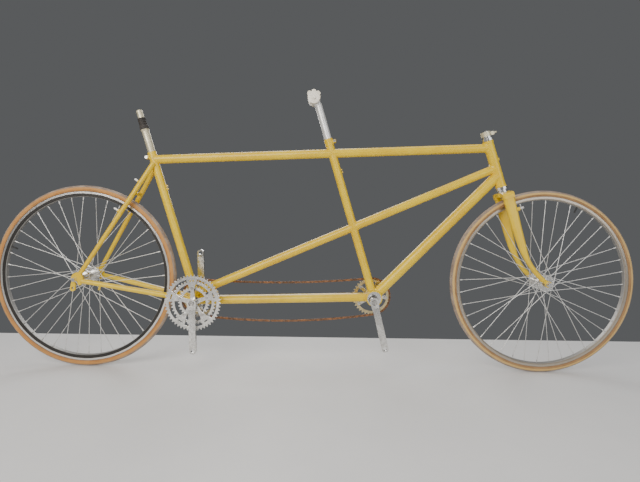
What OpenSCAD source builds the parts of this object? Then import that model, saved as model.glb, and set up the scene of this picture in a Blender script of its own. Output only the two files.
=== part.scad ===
// Tandem road bicycle frame set with wheels and cranks, as an assembly of separate pieces.
// X points forward, Y to the rider's left and Z up. The origin is on the ground, midway between
// the two axles and in the middle plane. Lengths in the side view are given from the rear axle
// (forward) and from the ground (up), and at() moves them into the part's frame.

/* [Wheels] */
// Distance between the axles
wheelbase = 1720; // [1710:5:1735]
// Outside diameter of both tyres
tyre_od = 686; // [684:1:688]
// Width of both tyres
tyre_w = 29; // [28:0.5:30]
// Diameter over the rim edges
rim_od = 642; // [641:1:643]
// Width of both rims
rim_w = 22; // [21:0.5:23]
// Height of the front rim
front_rim_h = 13; // [12:1:15]
// Height of the rear rim
rear_rim_h = 20; // [16:1:22]
// Number of spokes in each wheel
spoke_count = 40; // [36:4:40]
// Diameter of a spoke
spoke_d = 2; // [1.8:0.1:2.1]
// Diameter of the hub flanges
flange_d = 62; // [58:1:64]
// Distance between the fork tips
front_spacing = 100; // [100:1:104]
// Distance between the rear dropouts
rear_spacing = 140; // [138:1:142]

/* [Frame] */
// Height of the stoker's crank axis
stoker_bb_z = 258; // [254:1:262]
// Distance of the stoker's crank axis in front of the rear axle
stoker_bb_x = 421; // [418:1:424]
// Height of the captain's bottom bracket shell
captain_bb_z = 278; // [275:1:280]
// Distance of the captain's bottom bracket shell in front of the rear axle
captain_bb_x = 1090; // [1086:1:1094]
// Angle of both seat tubes
seat_a = 73.15; // [72.8:0.05:73.5]
// Length of the stoker's seat tube
stoker_seat_l = 579; // [575:1:584]
// Length of the captain's seat tube
captain_seat_l = 616; // [610:1:620]
// Outside diameter of both seat tubes
seat_tube_d = 30; // [29.6:0.1:31]
// Outside diameter of the top tube
top_tube_d = 31.8; // [30:0.1:32]
// Height of the top tube's centre line from the ground, where it passes over the rear axle
top_tube_z = 773.7; // [770:0.5:777]
// Rise of the top tube
top_tube_a = 2.54; // [2.3:0.02:2.8]
// Outside diameter of the lateral tube
lateral_tube_d = 30; // [29:0.1:30]
// Height of the lateral tube's centre line from the ground, at the rear axle's distance
lateral_tube_z = 106.5; // [104:0.5:109]
// Rise of the lateral tube
lateral_tube_a = 23.28; // [23:0.02:23.6]
// Outside diameter of the down tube
down_tube_d = 38; // [36:0.5:38]
// Rise of the down tube
down_tube_a = 45.5; // [45:0.1:46]
// Height of the boom tube between the bottom brackets
boom_h = 30; // [29:0.5:31]
// Width of the boom tube
boom_w = 45; // [42:1:48]
// Outside diameter of the captain's eccentric shell
eccentric_shell_d = 59; // [58:0.5:60]

/* [Fork and steering] */
// Angle of the steering axis
head_a = 72; // [71.8:0.1:72.2]
// Offset of the front axle from the steering axis
rake = 44; // [43:0.5:45]
// Height of the head tube's lower end along the steering axis
head_low = 388; // [386:1:390]
// Length of the head tube
head_l = 177; // [174:1:180]
// Outside diameter of the head tube
head_d = 36.8; // [36:0.2:37.2]

/* [Drivetrain] */
// Length of the crank arms
crank_l = 172.5; // [170:2.5:172.5]
// Teeth of the outer chainring
outer_teeth = 50; // [48:1:50]
// Teeth of the middle chainring
middle_teeth = 40; // [38:1:40]
// Teeth of the inner chainring
inner_teeth = 28; // [28:1:30]
// Teeth of both timing rings
timing_teeth = 35; // [34:1:35]
// Direction of the stoker's right crank
stoker_crank_a = -87.8; // [-92:0.2:-84]
// Direction of the captain's right crank
captain_crank_a = -76.5; // [-80:0.5:-72]
// Offset of the spindle in the eccentric
eccentric_r = 7.6; // [7:0.1:7.6]
// Direction of that offset
eccentric_a = -113; // [-116:1:-110]
// Sag of the timing chain's lower run
chain_sag = 23; // [20:1:24]
// Sag of the timing chain's upper run
upper_sag = 14; // [12:1:16]

/* [Seat posts] */
// Diameter of both seat posts
post_d = 27; // [26.8:0.1:27.2]
// Length of the captain's post above the seat tube
captain_post_out = 134; // [120:2:140]
// Length of the stoker's post above the seat tube, up to its lip
stoker_post_out = 84; // [78:2:90]
// Length of each post inside the seat tube
post_in = 150; // [130:5:160]

/* [Hidden] */
$fn = 48;
gap = 0.05;

tyre_r = tyre_od / 2;
rim_r = rim_od / 2;
bead_r = rim_r - 6;
spoke_circle_r = flange_d / 2 - 4;
flange_t = 3;
front_flange = 34.5;
rear_flange_right = 26.5;
rear_flange_left = 38;
hub_axle_r = 7.5;
axle_end_r = 4.6;
bearing_r = 14;
freewheel_thread_r = 17.4;
dropout_t = 6;

seat_tube_in_d = post_d + 0.1;
wall = 1.2;
captain_shell_l = 70;
stoker_shell_d = 40.6;
stoker_shell_l = 68;
cup_r = 17.35;
shell_thread_r = 17.4;
spindle_r = 8.5;
spindle_half = 63;
spindle_square = 12.6;

steerer_r = 12.7;
steerer_in_r = 11.1;
crown_top = head_low - 21;
crown_h = 24;
head_top = head_low + head_l;
steerer_top = head_top + 36;
headset_cup_in_r = 15.1;
blade_top_y = 40;
blade_tip_y = front_spacing / 2 + 3;
blade_set = -5;
blade_bend_s = 150;
blade_bend_r = 254;
blade_end_a = 31;

pitch = 12.7;
tab_z = 49;
tab_t = 4.2;
ring_t = 3.2;
tooth_t = 2.2;
timing_y = 45.6;
big_bcd = 110;
small_bcd = 74;
arm_inner = 58;
arm_face = 71;
pedal_face = 79;
pedal_hole_r = 7.14;

rust = "#8a5a3c";
paint = "#e2c443";
alloy = "#c9c8c4";
steel = "#a8a8a6";

// ---- Places -------------------------------------------------------------------------------

// A point in the side view, from the rear axle and the ground
function at(x, z, y = 0) = [x - wheelbase / 2, y, z];

rear_axle_p = at(0, tyre_r);
front_axle_p = at(wheelbase, tyre_r);
stoker_bb = at(stoker_bb_x, stoker_bb_z);
captain_shell = at(captain_bb_x, captain_bb_z);
captain_bb = captain_shell + eccentric_r * [cos(eccentric_a), 0, sin(eccentric_a)];
steer_foot = front_axle_p - rake * [sin(head_a), 0, cos(head_a)];

// A point on a straight centre line that passes height z0 above the rear axle at rise a
function on_line(x, z0, a) = at(x, z0 + x * tan(a));

// How far forward such a centre line meets a seat tube that starts at p
function seat_x(p, z0, a) =
  (p[2] + (p[0] + wheelbase / 2) * tan(seat_a) - z0) / (tan(a) + tan(seat_a));
// How far forward it meets the steering axis
function head_x(z0, a) =
  (steer_foot[2] + (steer_foot[0] + wheelbase / 2) * tan(head_a) - z0) / (tan(a) + tan(head_a));

down_tube_l = 645;

function lerp(a, b, t) = a + (b - a) * t;
function polar(r, a) = [r * cos(a), r * sin(a)];
function arc(c, r, a0, a1, n) = [for (i = [0 : n]) c + polar(r, lerp(a0, a1, i / n))];

module on_crank_axis(p) translate(p) rotate([90, 0, 0]) children();
module along_seat_tube(p) translate(p) rotate([0, seat_a - 90, 0]) children();
module along_head() translate(steer_foot) rotate([0, head_a - 90, 0]) children();
module both_sides() {
  children();
  mirror([0, 1, 0]) children();
}

// A straight round bar from a to b, which tapers from r1 to r2
module rod(a, b, r1, r2) {
  v = b - a;
  l = norm(v);
  translate(a) rotate([0, acos(v[2] / l), atan2(v[1], v[0])]) cylinder(h = l, r1 = r1, r2 = r2);
}

// A straight round tube with its ends open
module pipe(a, b, r, t) {
  u = (b - a) / norm(b - a);
  difference() {
    rod(a, b, r, r);
    rod(a - u, b + u, r - t, r - t);
  }
}

module ring(r_out, r_in, z0, z1) {
  translate([0, 0, z0]) difference() {
    cylinder(h = z1 - z0, r = r_out);
    translate([0, 0, -1]) cylinder(h = z1 - z0 + 2, r = r_in);
  }
}

// ---- Space that the frame tubes leave for each other -----------------------------------------

module head_space() along_head() {
  translate([0, 0, head_low - 30]) cylinder(h = head_l + 60, r = head_d / 2 + gap);
  for (z = [head_low, head_top - 8]) translate([0, 0, z - gap])
    cylinder(h = 8 + 2 * gap, r = head_d / 2 + 1.25);
}
module seat_space(p, l) along_seat_tube(p) {
  cylinder(h = l + 20, r = seat_tube_d / 2 + gap);
  translate([0, 0, l - 26 - gap]) cylinder(h = 46, r = seat_tube_d / 2 + 1 + gap);
}
module stoker_seat_space() seat_space(stoker_bb, stoker_seat_l);
module captain_seat_space() seat_space(captain_shell, captain_seat_l);
module shell_space(p, d, l) on_crank_axis(p) cylinder(h = l, r = d / 2 + gap, center = true);
module captain_shell_space() shell_space(captain_shell, eccentric_shell_d, captain_shell_l);
module stoker_shell_space() shell_space(stoker_bb, stoker_shell_d, stoker_shell_l);
module down_tube_space() rod(captain_shell, down_tube_end(), down_tube_d / 2 + gap, down_tube_d / 2 + gap);
module boom_space() boom_bar(gap);

function down_tube_end() = captain_shell + down_tube_l * [cos(down_tube_a), 0, sin(down_tube_a)];

module boom_bar(grow) {
  v = captain_shell - stoker_bb;
  r = boom_h / 2 + grow;
  side = (boom_w - boom_h) / 2;
  translate(stoker_bb) rotate([0, 90 - atan2(v[2], v[0]), 0]) linear_extrude(norm(v)) {
    for (s = [-1, 1]) translate([0, s * side]) circle(r = r);
    square([2 * r, 2 * side], center = true);
  }
}

// ---- Frame ------------------------------------------------------------------------------------

module head_tube() color(paint) difference() {
  along_head() {
    difference() {
      union() {
        translate([0, 0, head_low]) cylinder(h = head_l, r = head_d / 2);
        for (z = [head_low, head_top - 8]) translate([0, 0, z]) cylinder(h = 8, r = head_d / 2 + 1.2);
      }
      translate([0, 0, head_low - 1]) cylinder(h = head_l + 2, r = headset_cup_in_r);
    }
  }
}

module top_tube_piece(x0, x1)
  pipe(on_line(x0, top_tube_z, top_tube_a), on_line(x1, top_tube_z, top_tube_a), top_tube_d / 2, wall);

captain_x_at_top = seat_x(captain_shell, top_tube_z, top_tube_a);
stoker_x_at_top = seat_x(stoker_bb, top_tube_z, top_tube_a);

module front_top_tube() color(paint) difference() {
  top_tube_piece(captain_x_at_top + 3, head_x(top_tube_z, top_tube_a));
  captain_seat_space();
  head_space();
}

module rear_top_tube() color(paint) difference() {
  top_tube_piece(stoker_x_at_top + 3, captain_x_at_top - 3);
  captain_seat_space();
  stoker_seat_space();
}

module lateral_tube_piece(x0, x1)
  pipe(on_line(x0, lateral_tube_z, lateral_tube_a), on_line(x1, lateral_tube_z, lateral_tube_a),
    lateral_tube_d / 2, wall);

captain_x_at_lateral = seat_x(captain_shell, lateral_tube_z, lateral_tube_a);
stoker_x_at_lateral = seat_x(stoker_bb, lateral_tube_z, lateral_tube_a);

module front_lateral_tube() color(paint) difference() {
  lateral_tube_piece(captain_x_at_lateral + 5, head_x(lateral_tube_z, lateral_tube_a));
  captain_seat_space();
  head_space();
  down_tube_space();
}

module rear_lateral_tube() color(paint) difference() {
  lateral_tube_piece(stoker_x_at_lateral + 5, captain_x_at_lateral - 5);
  captain_seat_space();
  stoker_seat_space();
  stoker_shell_space();
  boom_space();
}

module down_tube() color(paint) difference() {
  pipe(captain_shell, down_tube_end(), down_tube_d / 2, wall);
  captain_shell_space();
  captain_seat_space();
  head_space();
}

module boom_tube() color(paint) difference() {
  boom_bar(0);
  boom_bar(-wall);
  captain_shell_space();
  stoker_shell_space();
  captain_seat_space();
  stoker_seat_space();
}

// A seat tube with its slot and the two ears of its clamp; side is 1 for a clamp at the front
module seat_tube(p, l, side) along_seat_tube(p) difference() {
  union() {
    cylinder(h = l, r = seat_tube_d / 2);
    translate([0, 0, l - 26]) cylinder(h = 26, r = seat_tube_d / 2 + 1);
    for (s = [-1, 1]) translate([side * 21, s * 6, l - 14]) {
      rotate([90, 0, 0]) cylinder(h = 8, r = 6.5, center = true);
      translate([-side * 5, 0, 0]) cube([10, 8, 12], center = true);
    }
  }
  translate([0, 0, -1]) cylinder(h = l + 2, r = seat_tube_in_d / 2);
  translate([side * 20, 0, l - 22]) cube([30, 2.4, 46], center = true);
  translate([side * 21, 0, l - 14]) rotate([90, 0, 0]) cylinder(h = 40, r = 3.1, center = true);
}

module captain_seat_tube() color(paint) difference() {
  seat_tube(captain_shell, captain_seat_l, 1);
  captain_shell_space();
}

module stoker_seat_tube() color(paint) difference() {
  seat_tube(stoker_bb, stoker_seat_l, -1);
  stoker_shell_space();
}

module binder_bolt(p, l, side) along_seat_tube(p) translate([side * 21, 0, l - 14]) rotate([90, 0, 0]) {
  cylinder(h = 24, r = 3, center = true);
  for (s = [-1, 1]) translate([0, 0, s * 12.1]) difference() {
    cylinder(h = 4, r = 5.2, center = true);
    translate([0, 0, s * 2]) cylinder(h = 3, r = 2.5, center = true);
  }
}

module seat_binder_bolts() color(steel) {
  binder_bolt(captain_shell, captain_seat_l, 1);
  binder_bolt(stoker_bb, stoker_seat_l, -1);
}

module captain_bb_shell() color(paint) on_crank_axis(captain_shell)
  ring(eccentric_shell_d / 2, 26, -captain_shell_l / 2, captain_shell_l / 2);

module stoker_bb_shell() color(paint) on_crank_axis(stoker_bb)
  ring(stoker_shell_d / 2, shell_thread_r, -stoker_shell_l / 2, stoker_shell_l / 2);

// Centre lines of the left stays
stay_y = rear_spacing / 2 + dropout_t / 2;
chain_stay_rear = at(23, 337, stay_y);
chain_stay_front = at(stoker_bb_x - 8, 262, 21);
seat_stay_low = at(19, 365, stay_y);
seat_stay_top = at(263, 765, 19);
chain_stay_r = [8.4, 11];
seat_stay_r = [7.6, 9.2];

module chain_stay(grow)
  rod(chain_stay_rear, chain_stay_front, chain_stay_r[0] + grow, chain_stay_r[1] + grow);

module seat_stay(grow) {
  rod(seat_stay_low, seat_stay_top, seat_stay_r[0] + grow, seat_stay_r[1] + grow);
  translate(seat_stay_top) sphere(r = seat_stay_r[1] + grow + 0.2);
}

module chain_stays() color(paint) {
  both_sides() difference() {
    chain_stay(0);
    rod(lerp(chain_stay_rear, chain_stay_front, 0.18), chain_stay_front,
      chain_stay_r[0] - wall, chain_stay_r[1] - wall);
    stoker_shell_space();
    stoker_seat_space();
    dropout(false);
  }
  difference() {
    translate(at(374, 268)) rotate([90, 0, 0]) cylinder(h = 60, r = 6, center = true);
    both_sides() chain_stay(gap);
  }
}

module seat_stays() color(paint) {
  both_sides() difference() {
    seat_stay(0);
    rod(lerp(seat_stay_low, seat_stay_top, 0.12), lerp(seat_stay_low, seat_stay_top, 0.95),
      seat_stay_r[0] - wall, seat_stay_r[1] - wall);
    stoker_seat_space();
    rod(on_line(200, top_tube_z, top_tube_a), on_line(400, top_tube_z, top_tube_a),
      top_tube_d / 2 + gap, top_tube_d / 2 + gap);
    dropout(false);
  }
  difference() {
    translate(lerp(seat_stay_low, seat_stay_top, 0.73) - [0, lerp(stay_y, 19, 0.73), 0])
      rotate([90, 0, 0]) cylinder(h = 63, r = 6, center = true);
    both_sides() seat_stay(gap);
  }
}

// The tongue that a dropout puts into a stay from a to b
module tang(a, b, l) translate([a[0] - rear_axle_p[0], a[2] - rear_axle_p[2]])
  rotate(atan2(b[2] - a[2], b[0] - a[0])) translate([-9, -4]) square([l, 8]);

// The left dropout; the right one also has the hanger for a derailleur
module dropout(hanger) translate([rear_axle_p[0], rear_spacing / 2, rear_axle_p[2]])
  rotate([-90, 0, 0]) mirror([0, 1, 0]) linear_extrude(dropout_t) difference() {
    union() {
      polygon([
        [-14, 3], [-12, 12], [-6, 20], [6, 26], [18, 23], [25, 17], [30, 4], [28, -11],
        [20, -21], [10, -22], [-2, -21], [-12, -14]]);
      tang(seat_stay_low, seat_stay_top, 26);
      tang(chain_stay_rear, chain_stay_front, 28);
      if (hanger) {
        translate([-9, -34]) circle(r = 9.5);
        polygon([[-13, -8], [1, -12], [0, -33], [-18, -33]]);
      }
    }
    circle(r = 5.1);
    polygon([[-4.6, 0], [4.6, 0], [17, -34], [7.8, -34]]);
    if (hanger) translate([-9, -32]) circle(r = 4.6);
  }

module rear_dropouts() color(paint) {
  dropout(false);
  mirror([0, 1, 0]) dropout(true);
}

// A round peg that stands on the left seat stay at t along it, square to it and in the side view
module stay_peg(t, l0, l1, r1, r2) {
  v = seat_stay_top - seat_stay_low;
  n = [-v[2], 0, v[0]] / norm([v[2], v[0]]);
  p = lerp(seat_stay_low, seat_stay_top, t);
  rod(p + l0 * n, p + l1 * n, r1, r2);
}

module frame_fittings() color(paint) {
  both_sides() {
    difference() {
      stay_peg(0.557, 5, 12, 7.4, 6.4);
      seat_stay(gap);
    }
    stay_peg(0.557, 12, 28, 4, 4);
  }
  mirror([0, 1, 0]) difference() {
    union() {
      stay_peg(0.83, 0, 24, 4, 4);
      rod(lerp(chain_stay_rear, chain_stay_front, 0.165), at(80, 303, 62), 3.5, 3.5);
    }
    seat_stay(gap);
    chain_stay(gap);
  }
  difference() {
    union() {
      along_head() translate([head_d / 2 + 0.5, 0, head_low + 97]) cylinder(h = 10, r = 4);
      for (i = [0, 1]) {
        along_seat_tube(stoker_bb) translate([0, 0, 432 + 12 * i])
          rotate([0, 90, 0]) cylinder(h = 20, r = 3.6);
        along_seat_tube(captain_shell) translate([0, 0, 484 + 10 * i])
          rotate([0, 90, 0]) cylinder(h = 19, r = 2.6);
      }
    }
    head_space();
    stoker_seat_space();
    captain_seat_space();
  }
}

// ---- Headset and fork ---------------------------------------------------------------------------

module headset_cups() color(alloy) along_head() {
  ring(headset_cup_in_r - gap, 13.4, head_low, head_low + 11);
  ring(24, 18.6, head_low - 10, head_low - 4);
  ring(24, 13.4, head_low - 4, head_low - gap);
  ring(18.3, 13.6, head_low - 9.4, head_low - 4.6);
  ring(headset_cup_in_r - gap, 13.4, head_top - 11, head_top);
  ring(22.6, 13.4, head_top + gap, head_top + 4);
  ring(22.6, 17.6, head_top + 4, head_top + 9);
  ring(17.3, 13.6, head_top + 4.6, head_top + 8.6);
}

module headset_races() color(alloy) along_head() {
  ring(20, steerer_r + gap, crown_top + gap, crown_top + 7);
  ring(17.2, steerer_r + gap, crown_top + 7, crown_top + 11);
  ring(19.5, steerer_r + gap, head_top + 9.6, head_top + 17);
}

module headset_locknut() color("#d8d2bd") along_head() {
  ring(18.4, steerer_r + gap, head_top + 17.1, head_top + 21);
  ring(18, steerer_r + gap, head_top + 21.1, head_top + 34);
  difference() {
    translate([16, -5, head_top + 17.1]) cube([13, 10, 13]);
    translate([0, 0, head_top]) cylinder(h = 60, r = 18.45);
  }
  rod([29, 0, head_top + 24], [40, 0, head_top + 24], 3.1, 3.1);
}

module steerer_tube() color(steel) along_head()
  ring(steerer_r, steerer_in_r, crown_top - crown_h, steerer_top);

// Centre line of a blade: straight down to blade_bend_s, then an arc towards the axle. Each
// station is its offset in front of the steering axis, its height, its angle and half its depth.
blade_top_s = crown_top - crown_h - gap;
function blade_depth(h) = h > 181
  ? 15.2 + 5.3 * pow((h - 181) / 162, 0.75)
  : 9 + 6.2 * smooth((h - 90) / 91);
function smooth(t) = t <= 0 ? 0 : t >= 1 ? 1 : t * t * (3 - 2 * t);
function blade_straight(h) = [blade_set * min(1, (blade_top_s - h) / 123), h, 0, blade_depth(h)];
function blade_arc(a) = [
  blade_set + blade_bend_r * (1 - cos(a)), blade_bend_s - blade_bend_r * sin(a), a,
  blade_depth(blade_bend_s - blade_bend_r * sin(a))];
blade_stations = concat(
  [for (i = [0 : 6]) blade_straight(lerp(blade_top_s, blade_bend_s, i / 6))],
  [for (i = [1 : 9]) blade_arc(blade_end_a * i / 9)]);
function blade_y(h) = lerp(blade_top_y, blade_tip_y, (blade_top_s - h) / blade_top_s);
function blade_b(h) = 9 + 1.5 * smooth(h / 250);

// Outline of a blade at a station: two half circles with straight sides between them
function blade_ring(st, n) = [
  for (i = [0 : n - 1])
    let (w = (i + 0.5) * 360 / n, b = blade_b(st[1]),
      u = sign(cos(w)) * (st[3] - b) + b * cos(w))
    [st[0] + u * cos(st[2]), blade_y(st[1]) + b * sin(w), st[1] + u * sin(st[2])]];

module blade() {
  n = 28;
  k = len(blade_stations);
  along_head() difference() {
    polyhedron(
      points = [for (st = blade_stations) each blade_ring(st, n)],
      faces = concat(
        [[for (i = [0 : n - 1]) i]],
        [for (j = [0 : k - 2], i = [0 : n - 1], t = [0, 1])
          let (a = j * n + i, b = j * n + (i + 1) % n)
          t == 0 ? [a, a + n, b + n] : [a, b + n, b]],
        [[for (i = [n - 1 : -1 : 0]) (k - 1) * n + i]]));
    rod([0, blade_top_y, blade_top_s + 1], [blade_set, blade_y(190), 190], 8, 7);
  }
}

module fork_blades() color(paint) both_sides() blade();

// The crown in front view, with sloping shoulders, cut to a waisted outline in plan
module crown_body(grow) along_head() translate([0, 0, crown_top]) intersection() {
  rotate([90, 0, 90]) linear_extrude(80, center = true) polygon([
    [-20, grow], [20, grow], [blade_top_y + 5, -4], [blade_top_y + 12, -14],
    [blade_top_y + 13, -crown_h - grow],
    [blade_top_y - 12, -crown_h - grow], [blade_top_y - 15, -15], [-blade_top_y + 15, -15],
    [-blade_top_y + 12, -crown_h - grow], [-blade_top_y - 13, -crown_h - grow],
    [-blade_top_y - 12, -14], [-blade_top_y - 5, -4]]);
  translate([0, 0, -crown_h - 1]) linear_extrude(crown_h + 2) {
    square([36, 2 * blade_top_y + 40], center = true);
    circle(r = 22);
    for (s = [-1, 1]) translate([0, s * blade_top_y]) square([42, 18], center = true);
  }
}

module fork_crown() color(paint) difference() {
  crown_body(0);
  along_head() translate([0, 0, crown_top - 60]) cylinder(h = 80, r = steerer_r + gap);
}

module fork_tips() color(paint) both_sides()
  along_head() translate([0, front_spacing / 2 + dropout_t, 0]) rotate([90, 0, 0]) linear_extrude(dropout_t)
    difference() {
      union() {
        translate([rake, 0]) circle(r = 11.5);
        translate([rake, 0]) rotate(90 + blade_end_a + 2) translate([0, -7]) square([22.4, 14]);
      }
      translate([rake, 0]) circle(r = 5);
      translate([rake, 0]) rotate(-75) translate([0, -4.6]) square([30, 9.2]);
    }

boss_z = 295;
module fork_brake_bosses() color(paint) both_sides() {
  y = blade_y(boss_z);
  b = blade_b(boss_z);
  st = blade_straight(boss_z);
  difference() {
    along_head() rod([12, y, boss_z], [27, y, boss_z], 8, 6);
    along_head() for (k = [-1, 1]) translate([st[0] + k * (st[3] - b + 0.1), 0, 0])
      rod([0, blade_y(boss_z + 30), boss_z + 30], [0, blade_y(boss_z - 30), boss_z - 30], b + 0.2, b + 0.2);
  }
  along_head() rod([27, y, boss_z], [41, y, boss_z], 4, 4);
}

// ---- Axles ----------------------------------------------------------------------------------------

// left and right are the ends of the hub shell, and spacing is the distance between the dropouts
module axle(left, right, spacing) {
  difference() {
    union() {
      translate([0, 0, -left - 1]) cylinder(h = left + right + 2, r = hub_axle_r);
      translate([0, 0, -spacing / 2]) cylinder(h = spacing / 2 - left - 0.6, r = 10);
      translate([0, 0, right + 0.6]) cylinder(h = spacing / 2 - right - 0.6, r = 10);
      cylinder(h = spacing + 2 * dropout_t - 1, r = axle_end_r, center = true);
    }
    cylinder(h = spacing + 40, r = 2.7, center = true);
  }
}

front_hub_half = 44;
rear_hub_left = 50;
rear_hub_right = 44;

module front_axle() color(steel) on_crank_axis(front_axle_p)
  axle(front_hub_half, front_hub_half, front_spacing);
module rear_axle() color(steel) on_crank_axis(rear_axle_p) axle(rear_hub_left, rear_hub_right, rear_spacing);

// Skewer with its nut on the right side and its lever on the left
module quick_release(spacing, lever_a) {
  face = spacing / 2 + dropout_t + gap;
  cylinder(h = 2 * face + 8, r = 2.4, center = true);
  translate([0, 0, face]) cylinder(h = 14 - gap, r1 = 9.5, r2 = 6.5);
  rotate([0, 0, lever_a]) {
    translate([0, 0, -face - 14 + gap]) cylinder(h = 14 - gap, r = 9.5);
    translate([0, -5, -face - 13]) difference() {
      cube([62, 10, 6]);
      translate([62, 5, -1]) rotate([0, 0, 45]) translate([-1.5, -10, 0]) cube([20, 20, 8]);
    }
  }
}

module front_quick_release() color(alloy) on_crank_axis(front_axle_p) quick_release(front_spacing, 100);
module rear_quick_release() color(alloy) on_crank_axis(rear_axle_p) quick_release(rear_spacing, 150);

// ---- Wheels ---------------------------------------------------------------------------------------

// Each wheel is made with its valve between two spokes and then turned
front_valve_a = 67.5;
rear_valve_a = 157.5;
module front_turned() on_crank_axis(front_axle_p) rotate([0, 0, -1]) children();
module rear_turned() on_crank_axis(rear_axle_p) rotate([0, 0, 1.2]) children();

// The places of a spoke: at its flange, at its nipple and where it stands across the rim
function spoke_side(i) = i % 2 == 0 ? 1 : -1;
function spoke_lead(i) = floor(i / 2) % 2 == 0 ? 1 : -1;
function spoke_angle(i) = i * 360 / spoke_count;
function spoke_turn() = 4 * 720 / spoke_count;

module spokes(flange_right, flange_left, rim_h) {
  nipple_l = 11;
  head_r = 1.9;
  stub_r = spoke_d / 2 + 0.1;
  end_r = rim_r - rim_h - nipple_l;
  for (i = [0 : spoke_count - 1]) {
    side = spoke_side(i);
    lead = spoke_lead(i);
    zf = side > 0 ? flange_right : -flange_left;
    out = lead * side;
    z0 = zf + lead * (flange_t / 2 + spoke_d / 2 + (out > 0 ? 1.6 : 0.15));
    hub_p = concat(polar(spoke_circle_r, spoke_angle(i)), [z0]);
    rim_p = concat(polar(end_r, spoke_angle(i) + lead * spoke_turn()), [side * 2]);
    u = (rim_p - hub_p) / norm(rim_p - hub_p);
    z1 = zf - lead * (flange_t / 2 + 0.15);
    rod(hub_p, rim_p, spoke_d / 2, spoke_d / 2);
    rod(hub_p + lead * [0, 0, spoke_d / 2], [hub_p[0], hub_p[1], z1 - lead], stub_r, stub_r);
    rod([hub_p[0], hub_p[1], z1], [hub_p[0], hub_p[1], z1 - lead], head_r, head_r);
    rod(rim_p + u * 0.05, rim_p + u * (nipple_l - 1.6), 2, 2);
  }
}

module flange_holes() {
  for (i = [0 : spoke_count - 1]) translate(concat(polar(spoke_circle_r, spoke_angle(i)), [0])) {
    side = spoke_side(i);
    translate([0, 0, side > 0 ? 5 : -85]) cylinder(h = 80, r = spoke_d / 2 + 0.25, $fn = 16);
  }
}

// A hub shell with a bearing in each end
module hub(flange_right, flange_left, right, left, right_end_r) {
  half_t = flange_t / 2;
  difference() {
    union() {
      translate([0, 0, -left]) cylinder(h = left - flange_left, r = 17.5);
      translate([0, 0, flange_right]) cylinder(h = right - flange_right, r = right_end_r);
      translate([0, 0, -flange_left]) cylinder(h = flange_left + flange_right, r = 15.5);
      for (z = [-flange_left, flange_right]) {
        translate([0, 0, z - half_t]) cylinder(h = flange_t, r = flange_d / 2);
        translate([0, 0, z - half_t - 2]) cylinder(h = flange_t + 4, r = 20);
      }
    }
    cylinder(h = 200, r = 10.5, center = true);
    translate([0, 0, -left - 1]) cylinder(h = 9, r = bearing_r);
    translate([0, 0, right - 9]) cylinder(h = 10, r = bearing_r);
    flange_holes();
  }
  ring(bearing_r - gap, hub_axle_r + gap, -left + 0.4, -left + 7.4);
  ring(bearing_r - gap, hub_axle_r + gap, right - 8.4, right - 1.4);
}

module front_hub() color(alloy) front_turned()
  hub(front_flange, front_flange, front_hub_half, front_hub_half, 17.5);
module rear_hub() color(alloy) rear_turned()
  hub(rear_flange_right, rear_flange_left, rear_hub_right, rear_hub_left, freewheel_thread_r);

module front_spokes() color(steel) front_turned() spokes(front_flange, front_flange, front_rim_h);
module rear_spokes() color(steel) rear_turned() spokes(rear_flange_right, rear_flange_left, rear_rim_h);

// A hollow rim with a hole for the valve
module rim(h, valve_a) difference() {
  rotate_extrude() difference() {
    polygon([
      [rim_r, -rim_w / 2], [rim_r, rim_w / 2], [rim_r - h + 3, rim_w / 2], [rim_r - h, rim_w / 2 - 4],
      [rim_r - h, -rim_w / 2 + 4], [rim_r - h + 3, -rim_w / 2]]);
    translate([bead_r, -rim_w / 2 + 1.6]) square([10, rim_w - 3.2]);
    translate([rim_r - h + 1.6, -rim_w / 2 + 3.4]) square([h - 9.2, rim_w - 6.8]);
  }
  rotate([0, 0, valve_a]) translate([rim_r - h - 5, 0, 0]) rotate([0, 90, 0]) cylinder(h = 30, r = 3.3);
}

module inner_tube(h, valve_a) {
  tube_r = tyre_w / 2 - 3.4;
  rotate_extrude() translate([tyre_r - tyre_w / 2, 0]) circle(r = tube_r);
  rotate([0, 0, valve_a]) translate([rim_r - h - 22, 0, 0]) rotate([0, 90, 0]) {
    cylinder(h = h + 24, r = 3);
    cylinder(h = 6, r = 2.2);
  }
}

module tyre() rotate_extrude() difference() {
  half = tyre_w / 2;
  mid = tyre_r - half;
  seat = rim_w / 2 - 1.8;
  union() {
    translate([mid, 0]) circle(r = half);
    translate([bead_r, -seat]) square([12, 2 * seat]);
  }
  translate([mid, 0]) circle(r = half - 2.8);
  translate([bead_r - 3, -seat + 4]) square([12, 2 * seat - 8]);
  translate([bead_r - 9, -half]) square([9.1, 2 * half]);
  for (s = [-1, 1]) translate([bead_r - 6, s * (seat + 5)]) square([12.2, 10], center = false);
  for (s = [-1, 1]) translate([rim_r - 9.8, s * (seat + 5) - 5]) square([10, 10]);
}

module front_rim() color(alloy) front_turned() rim(front_rim_h, front_valve_a);
module rear_rim() color("#6d6d6c") rear_turned() rim(rear_rim_h, rear_valve_a);
module front_inner_tube() color("#2c2c2c") front_turned() inner_tube(front_rim_h, front_valve_a);
module rear_inner_tube() color("#2c2c2c") rear_turned() inner_tube(rear_rim_h, rear_valve_a);
module front_tyre() color("#c08a4d") front_turned() tyre();
module rear_tyre() color("#c08a4d") rear_turned() tyre();

// ---- Cranks and chainrings ------------------------------------------------------------------------

module bb_cups(face) for (s = [0, 1]) mirror([0, 0, s]) {
  ring(cup_r, 15, face - 13, face);
  ring(20, 15, face, face + 2.6);
  ring(14.95, spindle_r + gap, face - 12, face - 3);
}

module stoker_bottom_bracket() color(steel) on_crank_axis(stoker_bb) bb_cups(stoker_shell_l / 2 + gap);
module captain_bottom_bracket() color(steel) on_crank_axis(captain_bb) bb_cups(captain_shell_l / 2 + 1 + gap);

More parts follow.
